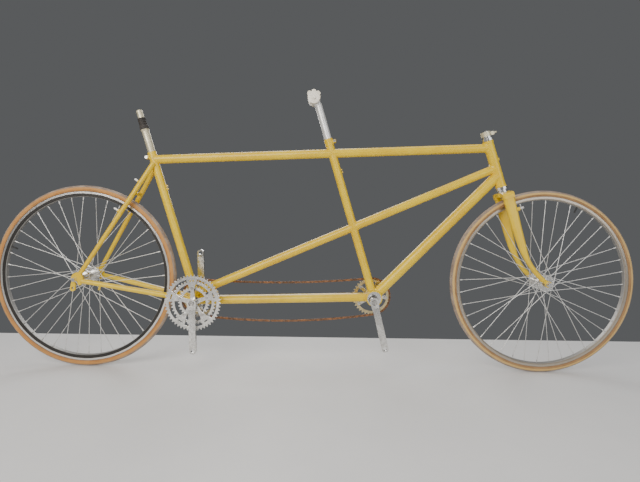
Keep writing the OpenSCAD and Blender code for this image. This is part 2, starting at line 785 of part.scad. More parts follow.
module eccentric_insert() color(alloy) difference() {
  on_crank_axis(captain_shell) cylinder(h = captain_shell_l + 2, r = 26 - gap, center = true);
  on_crank_axis(captain_bb) cylinder(h = captain_shell_l + 10, r = shell_thread_r, center = true);
  on_crank_axis(captain_shell) for (a = [0, 180], s = [-1, 1])
    rotate([0, 0, eccentric_a + 180 + s * 55]) translate([20, 0, a == 0 ? 30 : -40])
      cylinder(h = 10, r = 2.2);
}

module spindle() {
  cylinder(h = 93, r = spindle_r, center = true);
  for (s = [-1, 1]) translate([0, 0, s * (spindle_half + 42) / 2])
    cube([spindle_square, spindle_square, spindle_half - 42], center = true);
}

module stoker_spindle() color(steel) on_crank_axis(stoker_bb) rotate([0, 0, stoker_crank_a]) spindle();
module captain_spindle() color(steel) on_crank_axis(captain_bb) rotate([0, 0, captain_crank_a]) spindle();

// A crank arm along X with its outside towards +Z
module crank_arm(inner_z) difference() {
  union() {
    translate([0, 0, inner_z]) cylinder(h = arm_face - inner_z, r = 16.5);
    intersection() {
      linear_extrude(100) {
        translate([crank_l, 0]) circle(r = 12.5);
        polygon([[0, -15], [40, -12], [crank_l, -12.2], [crank_l, 12.2], [40, 12], [0, 15]]);
      }
      rotate([90, 0, 0]) linear_extrude(40, center = true) polygon([
        [-1, arm_inner], [26, arm_inner], [crank_l - 16, pedal_face - 13], [crank_l + 20, pedal_face - 13],
        [crank_l + 20, pedal_face], [crank_l - 16, pedal_face], [22, arm_face], [-1, arm_face]]);
    }
  }
  translate([0, 0, 50]) cube([spindle_square + 0.1, spindle_square + 0.1, 40], center = true);
  translate([0, 0, spindle_half]) cylinder(h = 20, r = 11);
  translate([crank_l, 0, 50]) cylinder(h = 60, r = pedal_hole_r);
}

module spider(z0, small) {
  for (i = [0 : 4]) rotate([0, 0, 36 + 72 * i]) difference() {
    union() {
      translate([0, 0, z0]) linear_extrude(tab_t) {
        polygon([[10, -10], [44, -6], [big_bcd / 2, -7], [big_bcd / 2, 7], [44, 6], [10, 10]]);
        translate([big_bcd / 2, 0]) circle(r = 7.5);
      }
      if (small) translate([small_bcd / 2, 0, inner_ring_z + ring_t / 2])
        cylinder(h = z0 - inner_ring_z, r = 5);
    }
    translate([big_bcd / 2, 0, 0]) cylinder(h = 100, r = 5 + gap);
    if (small) translate([small_bcd / 2, 0, 0]) cylinder(h = tab_z, r = 2.6);
  }
}

module left_side() mirror([0, 0, 1]) children();
timing_tab_z = timing_y + ring_t / 2;

module crank_with_spider(z0, small) difference() {
  union() {
    crank_arm(z0);
    spider(z0, small);
  }
  translate([0, 0, 50]) cube([spindle_square + 0.1, spindle_square + 0.1, 40], center = true);
}

module stoker_right_crank() color(alloy) on_crank_axis(stoker_bb)
  rotate([0, 0, stoker_crank_a]) crank_with_spider(tab_z, true);
module stoker_left_crank() color(alloy) on_crank_axis(stoker_bb)
  rotate([0, 0, stoker_crank_a + 180]) left_side() crank_with_spider(timing_tab_z, false);
module captain_right_crank() color(alloy) on_crank_axis(captain_bb)
  rotate([0, 0, captain_crank_a]) crank_arm(tab_z);
module captain_left_crank() color(alloy) on_crank_axis(captain_bb)
  rotate([0, 0, captain_crank_a + 180]) left_side() crank_with_spider(timing_tab_z, false);

// Outline of a toothed ring: each tooth has its root, flank and tip on both sides
function pitch_r(n) = pitch / 2 / sin(180 / n);
tooth_shape = [[-3.9, -0.32], [0, -0.19], [2.5, -0.07], [2.5, 0.07], [0, 0.19], [-3.9, 0.32]];
function tooth_points(n) = [
  for (i = [0 : n - 1]) for (p = tooth_shape) polar(pitch_r(n) + p[0], (i + p[1]) * 360 / n)];

// A chainring: its teeth are thinner than its body, which reaches in to the bolts
module chainring(n, bcd, inner_r, hole_r, phase) {
  body_r = pitch_r(n) - 6;
  difference() {
    union() {
      rotate([0, 0, phase]) linear_extrude(tooth_t, center = true) difference() {
        polygon(tooth_points(n));
        circle(r = inner_r);
      }
      linear_extrude(ring_t, center = true) difference() {
        circle(r = body_r);
        circle(r = inner_r);
      }
      linear_extrude(ring_t, center = true) for (i = [0 : 4]) rotate(36 + 72 * i) children();
    }
    for (i = [0 : 4]) rotate([0, 0, 36 + 72 * i]) translate([bcd / 2, 0, 0])
      cylinder(h = 10, r = hole_r, center = true);
  }
}

module eye(bcd, r, reach) {
  translate([bcd / 2, 0]) circle(r = r);
  translate([bcd / 2, -r]) square([reach - bcd / 2, 2 * r]);
}

outer_ring_z = tab_z + tab_t + ring_t / 2;
middle_ring_z = tab_z - ring_t / 2;
inner_ring_z = 40.6;

module outer_chainring() color(alloy) on_crank_axis(stoker_bb) rotate([0, 0, stoker_crank_a])
  translate([0, 0, outer_ring_z]) chainring(outer_teeth, big_bcd, 88, 5 + gap, 1.4) difference() {
    union() {
      translate([big_bcd / 2, 0]) circle(r = 8);
      polygon([[52, -7.5], [90, -22], [90, 22], [52, 7.5]]);
    }
    translate([79, -9]) square([5, 18]);
  }

module middle_chainring() color(alloy) on_crank_axis(stoker_bb) rotate([0, 0, stoker_crank_a])
  translate([0, 0, middle_ring_z]) chainring(middle_teeth, big_bcd, 69, 5 + gap, 2.2) eye(big_bcd, 8, 72);

module inner_chainring() color(alloy) on_crank_axis(stoker_bb) rotate([0, 0, stoker_crank_a])
  translate([0, 0, inner_ring_z]) chainring(inner_teeth, small_bcd, 45, 2.6, 0) eye(small_bcd, 6, 48);

// A timing ring, turned so that its gaps meet the rollers of the chain at rest
module timing_ring(roller_a) translate([0, 0, -timing_y])
  chainring_at(roller_a + 180 / timing_teeth);

module chainring_at(tooth_a) difference() {
  union() {
    rotate([0, 0, tooth_a]) linear_extrude(tooth_t, center = true) difference() {
      polygon(tooth_points(timing_teeth));
      circle(r = 57.5);
    }
    linear_extrude(ring_t, center = true) difference() {
      circle(r = 62);
      circle(r = 57.5);
    }
    linear_extrude(ring_t, center = true) for (i = [0 : 4]) rotate(36 + 72 * i) eye(big_bcd, 7, 58.5);
  }
  for (i = [0 : 4]) rotate([0, 0, 36 + 72 * i]) translate([big_bcd / 2, 0, 0])
    cylinder(h = 10, r = 5 + gap, center = true);
}

module stoker_timing_ring() color("#cfc39a") on_crank_axis(stoker_bb)
  rotate([0, 0, stoker_crank_a + 180]) timing_ring(chain_a + 90 - up_a - stoker_crank_a - 180);
module captain_timing_ring() color("#cfc39a") on_crank_axis(captain_bb)
  rotate([0, 0, captain_crank_a + 180])
    timing_ring(chain_a + 90 + up_a + captain_roller_a - captain_crank_a - 180);

module crank_bolt() difference() {
  translate([0, 0, spindle_half + gap]) union() {
    cylinder(h = 2, r = 10.8);
    cylinder(h = 6, r = 7.2);
  }
  translate([0, 0, spindle_half + 3]) cylinder(h = 10, r = 4.6, $fn = 6);
}

module ring_bolts(bcd, r, z0, z1, nut_h) for (i = [0 : 4]) rotate([0, 0, 36 + 72 * i])
  translate([bcd / 2, 0, 0]) {
  translate([0, 0, z0]) cylinder(h = z1 - z0, r = r);
  translate([0, 0, z0 - 1]) cylinder(h = 1, r = r + 1.2);
  if (nut_h > 0) translate([0, 0, z1]) cylinder(h = nut_h, r = r + 1.2);
}

module stoker_crank_bolts() color(steel) on_crank_axis(stoker_bb) {
  rotate([0, 0, stoker_crank_a]) {
    crank_bolt();
    ring_bolts(big_bcd, 5, middle_ring_z - ring_t / 2, outer_ring_z + ring_t / 2, 1);
    ring_bolts(small_bcd, 2.5, inner_ring_z - ring_t / 2, 46, 0);
  }
  rotate([0, 0, stoker_crank_a + 180]) left_side() {
    crank_bolt();
    ring_bolts(big_bcd, 5, timing_y - ring_t / 2, timing_tab_z + tab_t, 1);
  }
}

module captain_crank_bolts() color(steel) on_crank_axis(captain_bb) {
  rotate([0, 0, captain_crank_a]) crank_bolt();
  rotate([0, 0, captain_crank_a + 180]) left_side() {
    crank_bolt();
    ring_bolts(big_bcd, 5, timing_y - ring_t / 2, timing_tab_z + tab_t, 1);
  }
}

// ---- Timing chain ---------------------------------------------------------------------------------
// Drawn along X from the stoker's spindle to the captain's. Both runs hang as arcs that touch the
// rings: the lower arc goes round them from below and the upper one dips between them.

chain_v = captain_bb - stoker_bb;
chain_c = norm(chain_v);
chain_a = atan2(chain_v[2], chain_v[0]);
timing_r = pitch_r(timing_teeth);
low_h = (chain_c * chain_c / 4 - chain_sag * chain_sag) / (2 * chain_sag);
low_r = low_h + chain_sag + timing_r;
low_a = asin(chain_c / 2 / (low_r - timing_r));
up_h = (chain_c * chain_c / 4 - upper_sag * upper_sag) / (2 * upper_sag);
up_r = up_h - timing_r + upper_sag;
up_a = asin(chain_c / 2 / (up_r + timing_r));
upper_l = 2 * up_a * up_r * PI / 180;
captain_roller_a = -(ceil(upper_l / pitch) - upper_l / pitch) * 360 / timing_teeth;
plate_half_h = 4.1;
plate_in = 1.5;
plate_out = 3.1;
roller_start = 42;

function chain_outline(d) = concat(
  arc([0, 0], timing_r + d, 90 - up_a, 270 - low_a, 24),
  arc([chain_c / 2, low_h], low_r + d, 270 - low_a, 270 + low_a, 24),
  arc([chain_c, 0], timing_r + d, -90 + low_a, 90 + up_a, 24),
  arc([chain_c / 2, up_h], up_r - d, 270 + up_a, 270 - up_a, 24));

// The rollers of one run, counted from the stoker's ring, without those near the rings
module run_rollers(c, r, a) {
  step = pitch / r * 180 / PI;
  skip = ceil(roller_start / pitch) * step;
  for (b = [270 - a + skip : step : 270 + a - skip]) chain_roller(c + polar(r, b));
}

module chain_roller(p) translate([p[0], p[1], 0]) {
  cylinder(h = 2 * plate_in + 1, r = 3.9, center = true, $fn = 24);
  cylinder(h = 2 * plate_out + 1, r = 1.8, center = true, $fn = 16);
}

module timing_chain() color(rust) on_crank_axis(stoker_bb) rotate([0, 0, chain_a])
  translate([0, 0, -timing_y]) {
  for (s = [-1, 1]) translate([0, 0, s * (plate_in + plate_out) / 2])
    linear_extrude(plate_out - plate_in, center = true) difference() {
      polygon(chain_outline(plate_half_h));
      polygon(chain_outline(-plate_half_h));
    }
  run_rollers([chain_c / 2, low_h], low_r, low_a);
  run_rollers([chain_c / 2, up_h], up_r, up_a);
}

// ---- Seat posts -----------------------------------------------------------------------------------

clamp_z = 22;
clamp_x = -9;
rail_y = 22;
rail_r = 3.55;

module captain_seatpost() color(alloy) along_seat_tube(captain_shell) translate([0, 0, captain_seat_l]) {
  difference() {
    union() {
      translate([0, 0, -post_in]) cylinder(h = post_in + captain_post_out, r = post_d / 2);
      translate([0, 0, captain_post_out - 8]) rod([0, 0, 0], [clamp_x, 0, clamp_z], post_d / 2, 14);
      translate([clamp_x, 0, captain_post_out + clamp_z]) rotate([90, 0, 0])
        cylinder(h = 29, r = 19, center = true);
    }
    translate([0, 0, -post_in - 1]) cylinder(h = post_in + captain_post_out - 10, r = post_d / 2 - 2.2);
    translate([clamp_x, 0, captain_post_out + clamp_z]) rotate([90, 0, 0])
      cylinder(h = 60, r = 4 + gap, center = true);
  }
}

// Two round side caps, each with a bore for a saddle rail, and the bolt that clamps them
module captain_saddle_clamp() color(alloy) along_seat_tube(captain_shell)
  translate([clamp_x, 0, captain_seat_l + captain_post_out + clamp_z]) rotate([0, 90 - seat_a, 0]) {
    both_sides() difference() {
      union() {
        translate([0, 14.8, 0]) rotate([-90, 0, 0]) cylinder(h = 14, r = 22);
        for (x = [-15, 0, 15]) translate([x, 14.8, x == 0 ? 21 : 15])
          rotate([-90, 0, 0]) cylinder(h = 14, r = 8.5);
      }
      rotate([-90, 0, 0]) cylinder(h = 60, r = 4 + gap);
      translate([-40, rail_y, 14]) rotate([0, 90, 0]) cylinder(h = 80, r = rail_r);
    }
    rotate([90, 0, 0]) {
      cylinder(h = 57.8, r = 4, center = true);
      for (s = [-1, 1]) translate([0, 0, s * 30.9]) cylinder(h = 4, r = 7, center = true);
    }
  }

module stoker_seatpost() color("#cfc8b2") along_seat_tube(stoker_bb) translate([0, 0, stoker_seat_l]) {
  difference() {
    union() {
      translate([0, 0, -post_in]) cylinder(h = post_in + stoker_post_out, r = post_d / 2);
      translate([0, 0, stoker_post_out - 4]) cylinder(h = 7, r1 = post_d / 2, r2 = 16);
      translate([0, 0, stoker_post_out]) cylinder(h = 47, r = 11.5);
      translate([0, 0, stoker_post_out]) cylinder(h = 76, r = 11.1);
    }
    translate([0, 0, -post_in - 1]) cylinder(h = post_in + stoker_post_out + 90, r = 9.4);
  }
}

// Ribbed rubber sleeve between the post's lip and its top
module stoker_post_sleeve() color("#3a3736") along_seat_tube(stoker_bb)
  translate([0, 0, stoker_seat_l + stoker_post_out + 3 + gap]) rotate_extrude() difference() {
    union() {
      translate([11.5 + gap, 0]) square([1.8, 43.8]);
      translate([11.5 + gap, 0]) square([4.2, 14]);
      for (i = [0 : 6]) translate([12.9, 3 + 6.4 * i]) circle(r = i < 2 ? 3.6 : 1.9, $fn = 24);
    }
    translate([0, -10]) square([11.5 + gap, 70]);
    translate([0, -10]) square([30, 10]);
  }

head_tube();
front_top_tube();
rear_top_tube();
front_lateral_tube();
rear_lateral_tube();
down_tube();
boom_tube();
captain_seat_tube();
stoker_seat_tube();
captain_bb_shell();
stoker_bb_shell();
chain_stays();
seat_stays();
rear_dropouts();
frame_fittings();
seat_binder_bolts();
headset_cups();
stoker_bottom_bracket();
rear_axle();
rear_quick_release();
timing_chain();
eccentric_insert();
captain_bottom_bracket();
steerer_tube();
fork_crown();
fork_blades();
fork_tips();
fork_brake_bosses();
headset_races();
headset_locknut();
front_axle();
front_quick_release();
front_hub();
front_spokes();
front_rim();
front_inner_tube();
front_tyre();
rear_hub();
rear_spokes();
rear_rim();
rear_inner_tube();
rear_tyre();
stoker_spindle();
stoker_right_crank();
stoker_left_crank();
outer_chainring();
middle_chainring();
inner_chainring();
stoker_timing_ring();
stoker_crank_bolts();
captain_spindle();
captain_right_crank();
captain_left_crank();
captain_timing_ring();
captain_crank_bolts();
captain_seatpost();
captain_saddle_clamp();
stoker_seatpost();
stoker_post_sleeve();
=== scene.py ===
"""Tandem bicycle frame on two wheels: finishes, brazed joints and the timing chain."""
import math

import bmesh
import bpy
from mathutils import Matrix, Vector


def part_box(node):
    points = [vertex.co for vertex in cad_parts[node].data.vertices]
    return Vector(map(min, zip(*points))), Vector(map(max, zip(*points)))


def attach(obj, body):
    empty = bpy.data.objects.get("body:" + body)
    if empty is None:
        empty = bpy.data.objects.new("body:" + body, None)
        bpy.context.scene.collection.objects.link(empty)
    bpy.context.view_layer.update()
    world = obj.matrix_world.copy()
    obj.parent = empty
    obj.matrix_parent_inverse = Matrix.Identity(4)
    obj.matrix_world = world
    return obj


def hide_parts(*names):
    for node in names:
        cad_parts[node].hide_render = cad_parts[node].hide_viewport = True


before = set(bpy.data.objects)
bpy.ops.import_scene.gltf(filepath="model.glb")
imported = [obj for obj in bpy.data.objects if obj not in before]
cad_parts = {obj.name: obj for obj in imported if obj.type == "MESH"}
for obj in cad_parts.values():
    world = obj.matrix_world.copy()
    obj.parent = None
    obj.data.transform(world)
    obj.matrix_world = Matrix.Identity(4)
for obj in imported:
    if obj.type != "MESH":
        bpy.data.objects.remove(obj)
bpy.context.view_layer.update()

# ---- Sizes and places, in metres -------------------------------------------------------------

MM = 0.001
WHEELBASE = 1.720
AXLE_Z = 0.343
REAR_X = -WHEELBASE / 2
HEAD_ANGLE = math.radians(72)
SEAT_ANGLE = math.radians(73.15)
RAKE = 44 * MM
STOKER_BB = Vector((REAR_X + 0.421, 0, 0.258))
CAPTAIN_SHELL = Vector((REAR_X + 1.090, 0, 0.278))

HEAD_DIR = Vector((-math.cos(HEAD_ANGLE), 0, math.sin(HEAD_ANGLE)))
HEAD_FOOT = Vector((WHEELBASE / 2 - RAKE * math.sin(HEAD_ANGLE), 0,
                    AXLE_Z - RAKE * math.cos(HEAD_ANGLE)))
SEAT_DIR = Vector((-math.cos(SEAT_ANGLE), 0, math.sin(SEAT_ANGLE)))
TOP_TUBE = (0.7737, math.radians(2.54))
LATERAL_TUBE = (0.1065, math.radians(23.28))
DOWN_TUBE_ANGLE = math.radians(45.5)

HEAD_R = 18.4 * MM
SEAT_TUBE_R = 15 * MM
TOP_TUBE_R = 15.9 * MM
LATERAL_R = 15 * MM
DOWN_TUBE_R = 19 * MM
CAPTAIN_SHELL_R = 29.5 * MM
STOKER_SHELL_R = 20.3 * MM

# Bands of the tyres and rims, by their distance from the axle
TREAD_BAND = (0.3354, 0.3366)
UPPER_WALL_BAND = (0.3282, 0.3298)
BEAD_BAND = (0.3225, 0.3265)
BRAKE_TRACK = (0.3130, 0.3200)
# Radii of the rims' inner lips; inside them a pale painted highlight is laid
FRONT_RIM_LIP_HIGHLIGHT = 0.309
REAR_RIM_LIP_HIGHLIGHT = 0.3022
# Spacing of the tread's ribs, and of the fine rings that braking leaves on the track
TREAD_RIB_PITCH = 0.0030
LATHE_RING_PITCH = 0.0007

# The seat stay's ends, and how far the bare brake pins start from the stay and the fork
STAY_LOW = Vector((REAR_X + 0.019, 0, 0.365))
STAY_TOP = Vector((REAR_X + 0.263, 0, 0.765))
BEHIND_STAY = Vector((STAY_LOW.z - STAY_TOP.z, 0, STAY_TOP.x - STAY_LOW.x)).normalized()
BEFORE_FORK = Vector((math.sin(HEAD_ANGLE), 0, math.cos(HEAD_ANGLE)))
STAY_PIN_FROM = 12.1 * MM
FORK_PIN_FROM = 27.1 * MM
PIN_EDGE = 0.0004

# Braze fillets: how far their edges and their root are sunk into the tubes
EDGE_SINK = 0.0002
ROOT_SINK = 0.0012
ROOT_SHIFT = 0.0004

# The timing chain; each plate pair is (radius at its ends, half height at its waist)
CHAIN_PITCH = 12.7 * MM
TIMING_TEETH = 35
CHAIN_LINKS = 140
LOWER_SAG = 23 * MM
UPPER_SAG = 14 * MM
PLATE_THICK = 0.95 * MM
PLATE_GAP = 0.05 * MM
PIN_PROUD = 0.5 * MM
PIN_INSET = 0.05 * MM
ROLLER_R = 3.9 * MM
CHAIN_PIN_R = 1.8 * MM
INNER_PLATE = (4.2 * MM, 3.2 * MM)
OUTER_PLATE = (4.0 * MM, 2.7 * MM)
RING_POINTS = 120
RUN_POINTS = 200
PLATE_END_STEPS = 8

FLOOR_HALF_LENGTH = 2.2
FLOOR_HALF_WIDTH = 1.1
FLOOR_MIDDLE_Y = -0.7
FLOOR_DROP = 0.0005

CAMERA_PLACE = (0.0543, -1.6254, 0.6077)
CAMERA_TURN = (0.4185, -2.902, 0.6774)
CAMERA_LENS = 24.34
CAMERA_SENSOR = 36
CAMERA_SHIFT = (-0.0072, -0.0155)

# ---- Colours that several finishes share -----------------------------------------------------

FRESH_YELLOW = (0.88, 0.610, 0.012)
DEEP_YELLOW = (0.76, 0.470, 0.006)
CHIP_BROWN = (0.16, 0.085, 0.04)
SCUFFED_PAINT = (0.80, 0.66, 0.30)
GRIME_ON_PAINT = (0.16, 0.10, 0.035)
GRIME_ON_METAL = (0.14, 0.11, 0.08)
BARE_PIN_STEEL = (0.70, 0.68, 0.64)


# ---- Node helpers ----------------------------------------------------------------------------

class Wiring:
    """A short way to place and join nodes in one tree."""

    def __init__(self, tree):
        self.tree = tree

    def add(self, kind, settings=None, links=None, **values):
        """Places a node, sets its properties and inputs, and joins the given sockets to it."""
        node = self.tree.nodes.new(kind)
        for key, value in (settings or {}).items():
            setattr(node, key, value)
        for key, value in values.items():
            node.inputs[key.replace("_", " ")].default_value = value
        for key, socket in (links or {}).items():
            self.tree.links.new(socket, node.inputs[key])
        return node

    def math(self, operation, a, b=0.0, clamp=False):
        """a and b are sockets or numbers."""
        node = self.tree.nodes.new("ShaderNodeMath")
        node.operation = operation
        node.use_clamp = clamp
        for i, value in enumerate((a, b)):
            if isinstance(value, (int, float)):
                node.inputs[i].default_value = value
            else:
                self.tree.links.new(value, node.inputs[i])
        return node.outputs[0]

    def mix(self, factor, a, b):
        """Colour a where factor is 0, colour b where it is 1."""
        node = self.tree.nodes.new("ShaderNodeMix")
        node.data_type = "RGBA"
        for socket, value in ((node.inputs[0], factor), (node.inputs[6], a), (node.inputs[7], b)):
            if isinstance(value, (int, float)):
                socket.default_value = value
            elif isinstance(value, tuple):
                socket.default_value = (*value, 1)
            else:
                self.tree.links.new(value, socket)
        return node.outputs[2]

    def blend(self, factor, a, b):
        """Number a where factor is 0, number b where it is 1."""
        node = self.tree.nodes.new("ShaderNodeMapRange")
        self.tree.links.new(factor, node.inputs["Value"])
        node.inputs["To Min"].default_value = a
        node.inputs["To Max"].default_value = b
        return node.outputs[0]

    def step(self, value, low, high):
        """0 below low, 1 above high, smooth between."""
        node = self.tree.nodes.new("ShaderNodeMapRange")
        node.interpolation_type = "SMOOTHSTEP"
        self.tree.links.new(value, node.inputs["Value"])
        node.inputs["From Min"].default_value = low
        node.inputs["From Max"].default_value = high
        return node.outputs[0]

    def use(self, group, coords, **values):
        """Places a node group reading coords, with its own values."""
        node = self.tree.nodes.new("ShaderNodeGroup")
        node.node_tree = group
        self.tree.links.new(coords, node.inputs["Vector"])
        for key, value in values.items():
            node.inputs[key].default_value = value
        return node.outputs


def new_group(name, inputs, outputs):
    """An empty shader group; inputs and outputs are (name, socket type, default) rows."""
    tree = bpy.data.node_groups.new(name, "ShaderNodeTree")
    for label, kind, default in inputs:
        socket = tree.interface.new_socket(name=label, in_out="INPUT", socket_type=kind)
        if default is not None:
            socket.default_value = default
    for label, kind in outputs:
        tree.interface.new_socket(name=label, in_out="OUTPUT", socket_type=kind)
    start = tree.nodes.new("NodeGroupInput")
    end = tree.nodes.new("NodeGroupOutput")
    return tree, start.outputs, end.inputs, Wiring(tree)


VECTOR, NUMBER = "NodeSocketVector", "NodeSocketFloat"


def make_patches():
    """Soft cloudy patches, for fading, tarnish, dust and rust."""
    tree, start, end, w = new_group("patches", [
        ("Vector", VECTOR, None), ("Scale", NUMBER, 8.0),
        ("Low", NUMBER, 0.4), ("High", NUMBER, 0.6)], [("Mask", NUMBER)])
    noise = w.add("ShaderNodeTexNoise", links={"Vector": start["Vector"], "Scale": start["Scale"]},
                  Detail=6.0, Roughness=0.62)
    ranged = w.add("ShaderNodeMapRange", {"interpolation_type": "SMOOTHSTEP"},
                   {"Value": noise.outputs[0], "From Min": start["Low"], "From Max": start["High"]})
    tree.links.new(ranged.outputs[0], end["Mask"])
    return tree


def make_grain():
    """A fine uneven surface for the bump, with a slower wave under it."""
    tree, start, end, w = new_group("fine_grain", [
        ("Vector", VECTOR, None), ("Scale", NUMBER, 400.0)], [("Height", NUMBER)])
    fine = w.add("ShaderNodeTexNoise", links={"Vector": start["Vector"], "Scale": start["Scale"]},
                 Detail=4.0, Roughness=0.6)
    slow_scale = w.math("MULTIPLY", start["Scale"], 0.12)
    slow = w.add("ShaderNodeTexNoise", links={"Vector": start["Vector"], "Scale": slow_scale},
                 Detail=2.0)
    total = w.math("ADD", w.math("MULTIPLY", fine.outputs[0], 0.4), slow.outputs[0])
    tree.links.new(total, end["Height"])
    return tree


def make_scratches():
    """Thin scuffs in two directions, as wear from handling leaves them."""
    tree, start, end, w = new_group("scuffs", [
        ("Vector", VECTOR, None), ("Scale", NUMBER, 30.0), ("Amount", NUMBER, 0.5)],
        [("Mask", NUMBER)])
    scaled = w.add("ShaderNodeVectorMath", {"operation": "SCALE"},
                   {0: start["Vector"], "Scale": start["Scale"]})
    lines = []
    for turn, stretch in ((0.5, (1.0, 9.0, 14.0)), (2.1, (12.0, 8.0, 1.0))):
        placed = w.add("ShaderNodeMapping", links={"Vector": scaled.outputs[0]})
        placed.inputs["Rotation"].default_value = (0.2, turn, 0.3)
        placed.inputs["Scale"].default_value = stretch
        noise = w.add("ShaderNodeTexNoise", links={"Vector": placed.outputs[0]},
                      Scale=1.0, Detail=3.0, Roughness=0.7)
        lines.append(noise.outputs[0])
    both = w.math("MAXIMUM", lines[0], lines[1])
    edge = w.math("SUBTRACT", 0.86, w.math("MULTIPLY", start["Amount"], 0.22))
    over = w.math("SUBTRACT", both, edge)
    tree.links.new(w.math("MULTIPLY", over, 14.0, clamp=True), end["Mask"])
    return tree


def make_wheel_radius():
    """Distance from the nearer wheel's axle and from the middle plane, and angle round the axle."""
    tree, start, end, w = new_group("wheel_radius", [("Vector", VECTOR, None)],
                                    [("Radius", NUMBER), ("Side", NUMBER), ("Turn", NUMBER)])
    split = w.add("ShaderNodeSeparateXYZ", links={"Vector": start["Vector"]})
    along = w.math("SUBTRACT", w.math("ABSOLUTE", split.outputs[0]), WHEELBASE / 2)
    up = w.math("SUBTRACT", split.outputs[2], AXLE_Z)
    squared = w.math("ADD", w.math("MULTIPLY", along, along), w.math("MULTIPLY", up, up))
    tree.links.new(w.math("SQRT", squared), end["Radius"])
    tree.links.new(w.math("ABSOLUTE", split.outputs[1]), end["Side"])
    tree.links.new(w.math("ARCTAN2", up, along), end["Turn"])
    return tree


def make_height_dust():
    """Grime that settles low on the bicycle and thins out upwards."""
    tree, start, end, w = new_group("low_grime", [
        ("Vector", VECTOR, None), ("Scale", NUMBER, 40.0), ("Top", NUMBER, 0.5)],
        [("Mask", NUMBER)])
    split = w.add("ShaderNodeSeparateXYZ", links={"Vector": start["Vector"]})
    noise = w.add("ShaderNodeTexNoise", links={"Vector": start["Vector"], "Scale": start["Scale"]},
                  Detail=7.0, Roughness=0.65)
    fade = w.math("SUBTRACT", 1.0, w.math("DIVIDE", split.outputs[2], start["Top"]), clamp=True)
    spotted = w.math("MULTIPLY", w.math("SUBTRACT", noise.outputs[0], 0.42), 4.0, clamp=True)
    tree.links.new(w.math("MULTIPLY", fade, spotted, clamp=True), end["Mask"])
    return tree


PATCHES = make_patches()
GRAIN = make_grain()
SCUFFS = make_scratches()
WHEEL_RADIUS = make_wheel_radius()
LOW_GRIME = make_height_dust()


# ---- Finishes --------------------------------------------------------------------------------

def new_finish(name, **constants):
    """A material with a Principled shader.

    Returns it, its wiring, object coordinates, and functions that join a socket and add a bump.
    """
    material = bpy.data.materials.new(name)
    material.use_nodes = True
    tree = material.node_tree
    shader = tree.nodes["Principled BSDF"]
    for key, value in constants.items():
        shader.inputs[key.replace("_", " ")].default_value = value
    w = Wiring(tree)
    coords = w.add("ShaderNodeTexCoord").outputs["Object"]

    def join(socket, target):
        tree.links.new(socket, shader.inputs[target])

    def bump(height, depth, strength=1.0):
        node = w.add("ShaderNodeBump", links={"Height": height}, Strength=strength, Distance=depth)
        tree.links.new(node.outputs[0], shader.inputs["Normal"])

    return material, w, coords, join, bump


def paint_finish(name, unpainted=None):
    """Old gloss enamel: faded areas, small chips down to primer, fine orange peel and grime.

    unpainted is (point, direction, distance): beyond that distance the steel is bare.
    """
    material, w, coords, join, bump = new_finish(name, Coat_Roughness=0.20, Specular_IOR_Level=0.42)
    faded = w.use(PATCHES, coords, Scale=5.0, Low=0.38, High=0.66)["Mask"]
    tint = w.use(PATCHES, coords, Scale=37.0, Low=0.35, High=0.75)["Mask"]
    chips = w.use(PATCHES, coords, Scale=120.0, Low=0.70, High=0.72)["Mask"]
    scuffs = w.use(SCUFFS, coords, Scale=26.0, Amount=0.5)["Mask"]
    grime = w.use(LOW_GRIME, coords, Scale=55.0, Top=0.46)["Mask"]
    colour = w.mix(w.math("MULTIPLY", faded, 0.75), FRESH_YELLOW, DEEP_YELLOW)
    darker = tuple(c * 0.72 for c in DEEP_YELLOW)
    colour = w.mix(w.math("MULTIPLY", tint, 0.18), colour, darker)
    colour = w.mix(w.math("MULTIPLY", scuffs, 0.25), colour, SCUFFED_PAINT)
    colour = w.mix(w.math("MULTIPLY", grime, 0.38), colour, GRIME_ON_PAINT)
    colour = w.mix(chips, colour, CHIP_BROWN)
    if unpainted:
        point, direction, distance = unpainted
        from_point = w.add("ShaderNodeVectorMath", {"operation": "SUBTRACT"}, {0: coords})
        from_point.inputs[1].default_value = point
        along = w.add("ShaderNodeVectorMath", {"operation": "DOT_PRODUCT"},
                      {0: from_point.outputs[0]})
        along.inputs[1].default_value = direction
        pin = w.step(along.outputs["Value"], distance, distance + PIN_EDGE)
        colour = w.mix(pin, colour, BARE_PIN_STEEL)
        join(w.blend(pin, 0.0, 0.85), "Metallic")
    join(colour, "Base Color")
    dull = w.math("MAXIMUM", w.math("MULTIPLY", grime, 0.8), w.math("MAXIMUM", chips, scuffs))
    join(w.blend(dull, 0.36, 0.64), "Roughness")
    join(w.blend(dull, 0.38, 0.06), "Coat Weight")
    height = w.use(GRAIN, coords, Scale=260.0)["Height"]
    bump(w.math("SUBTRACT", height, w.math("MULTIPLY", chips, 1.5)), 0.00010, 0.45)
    return material


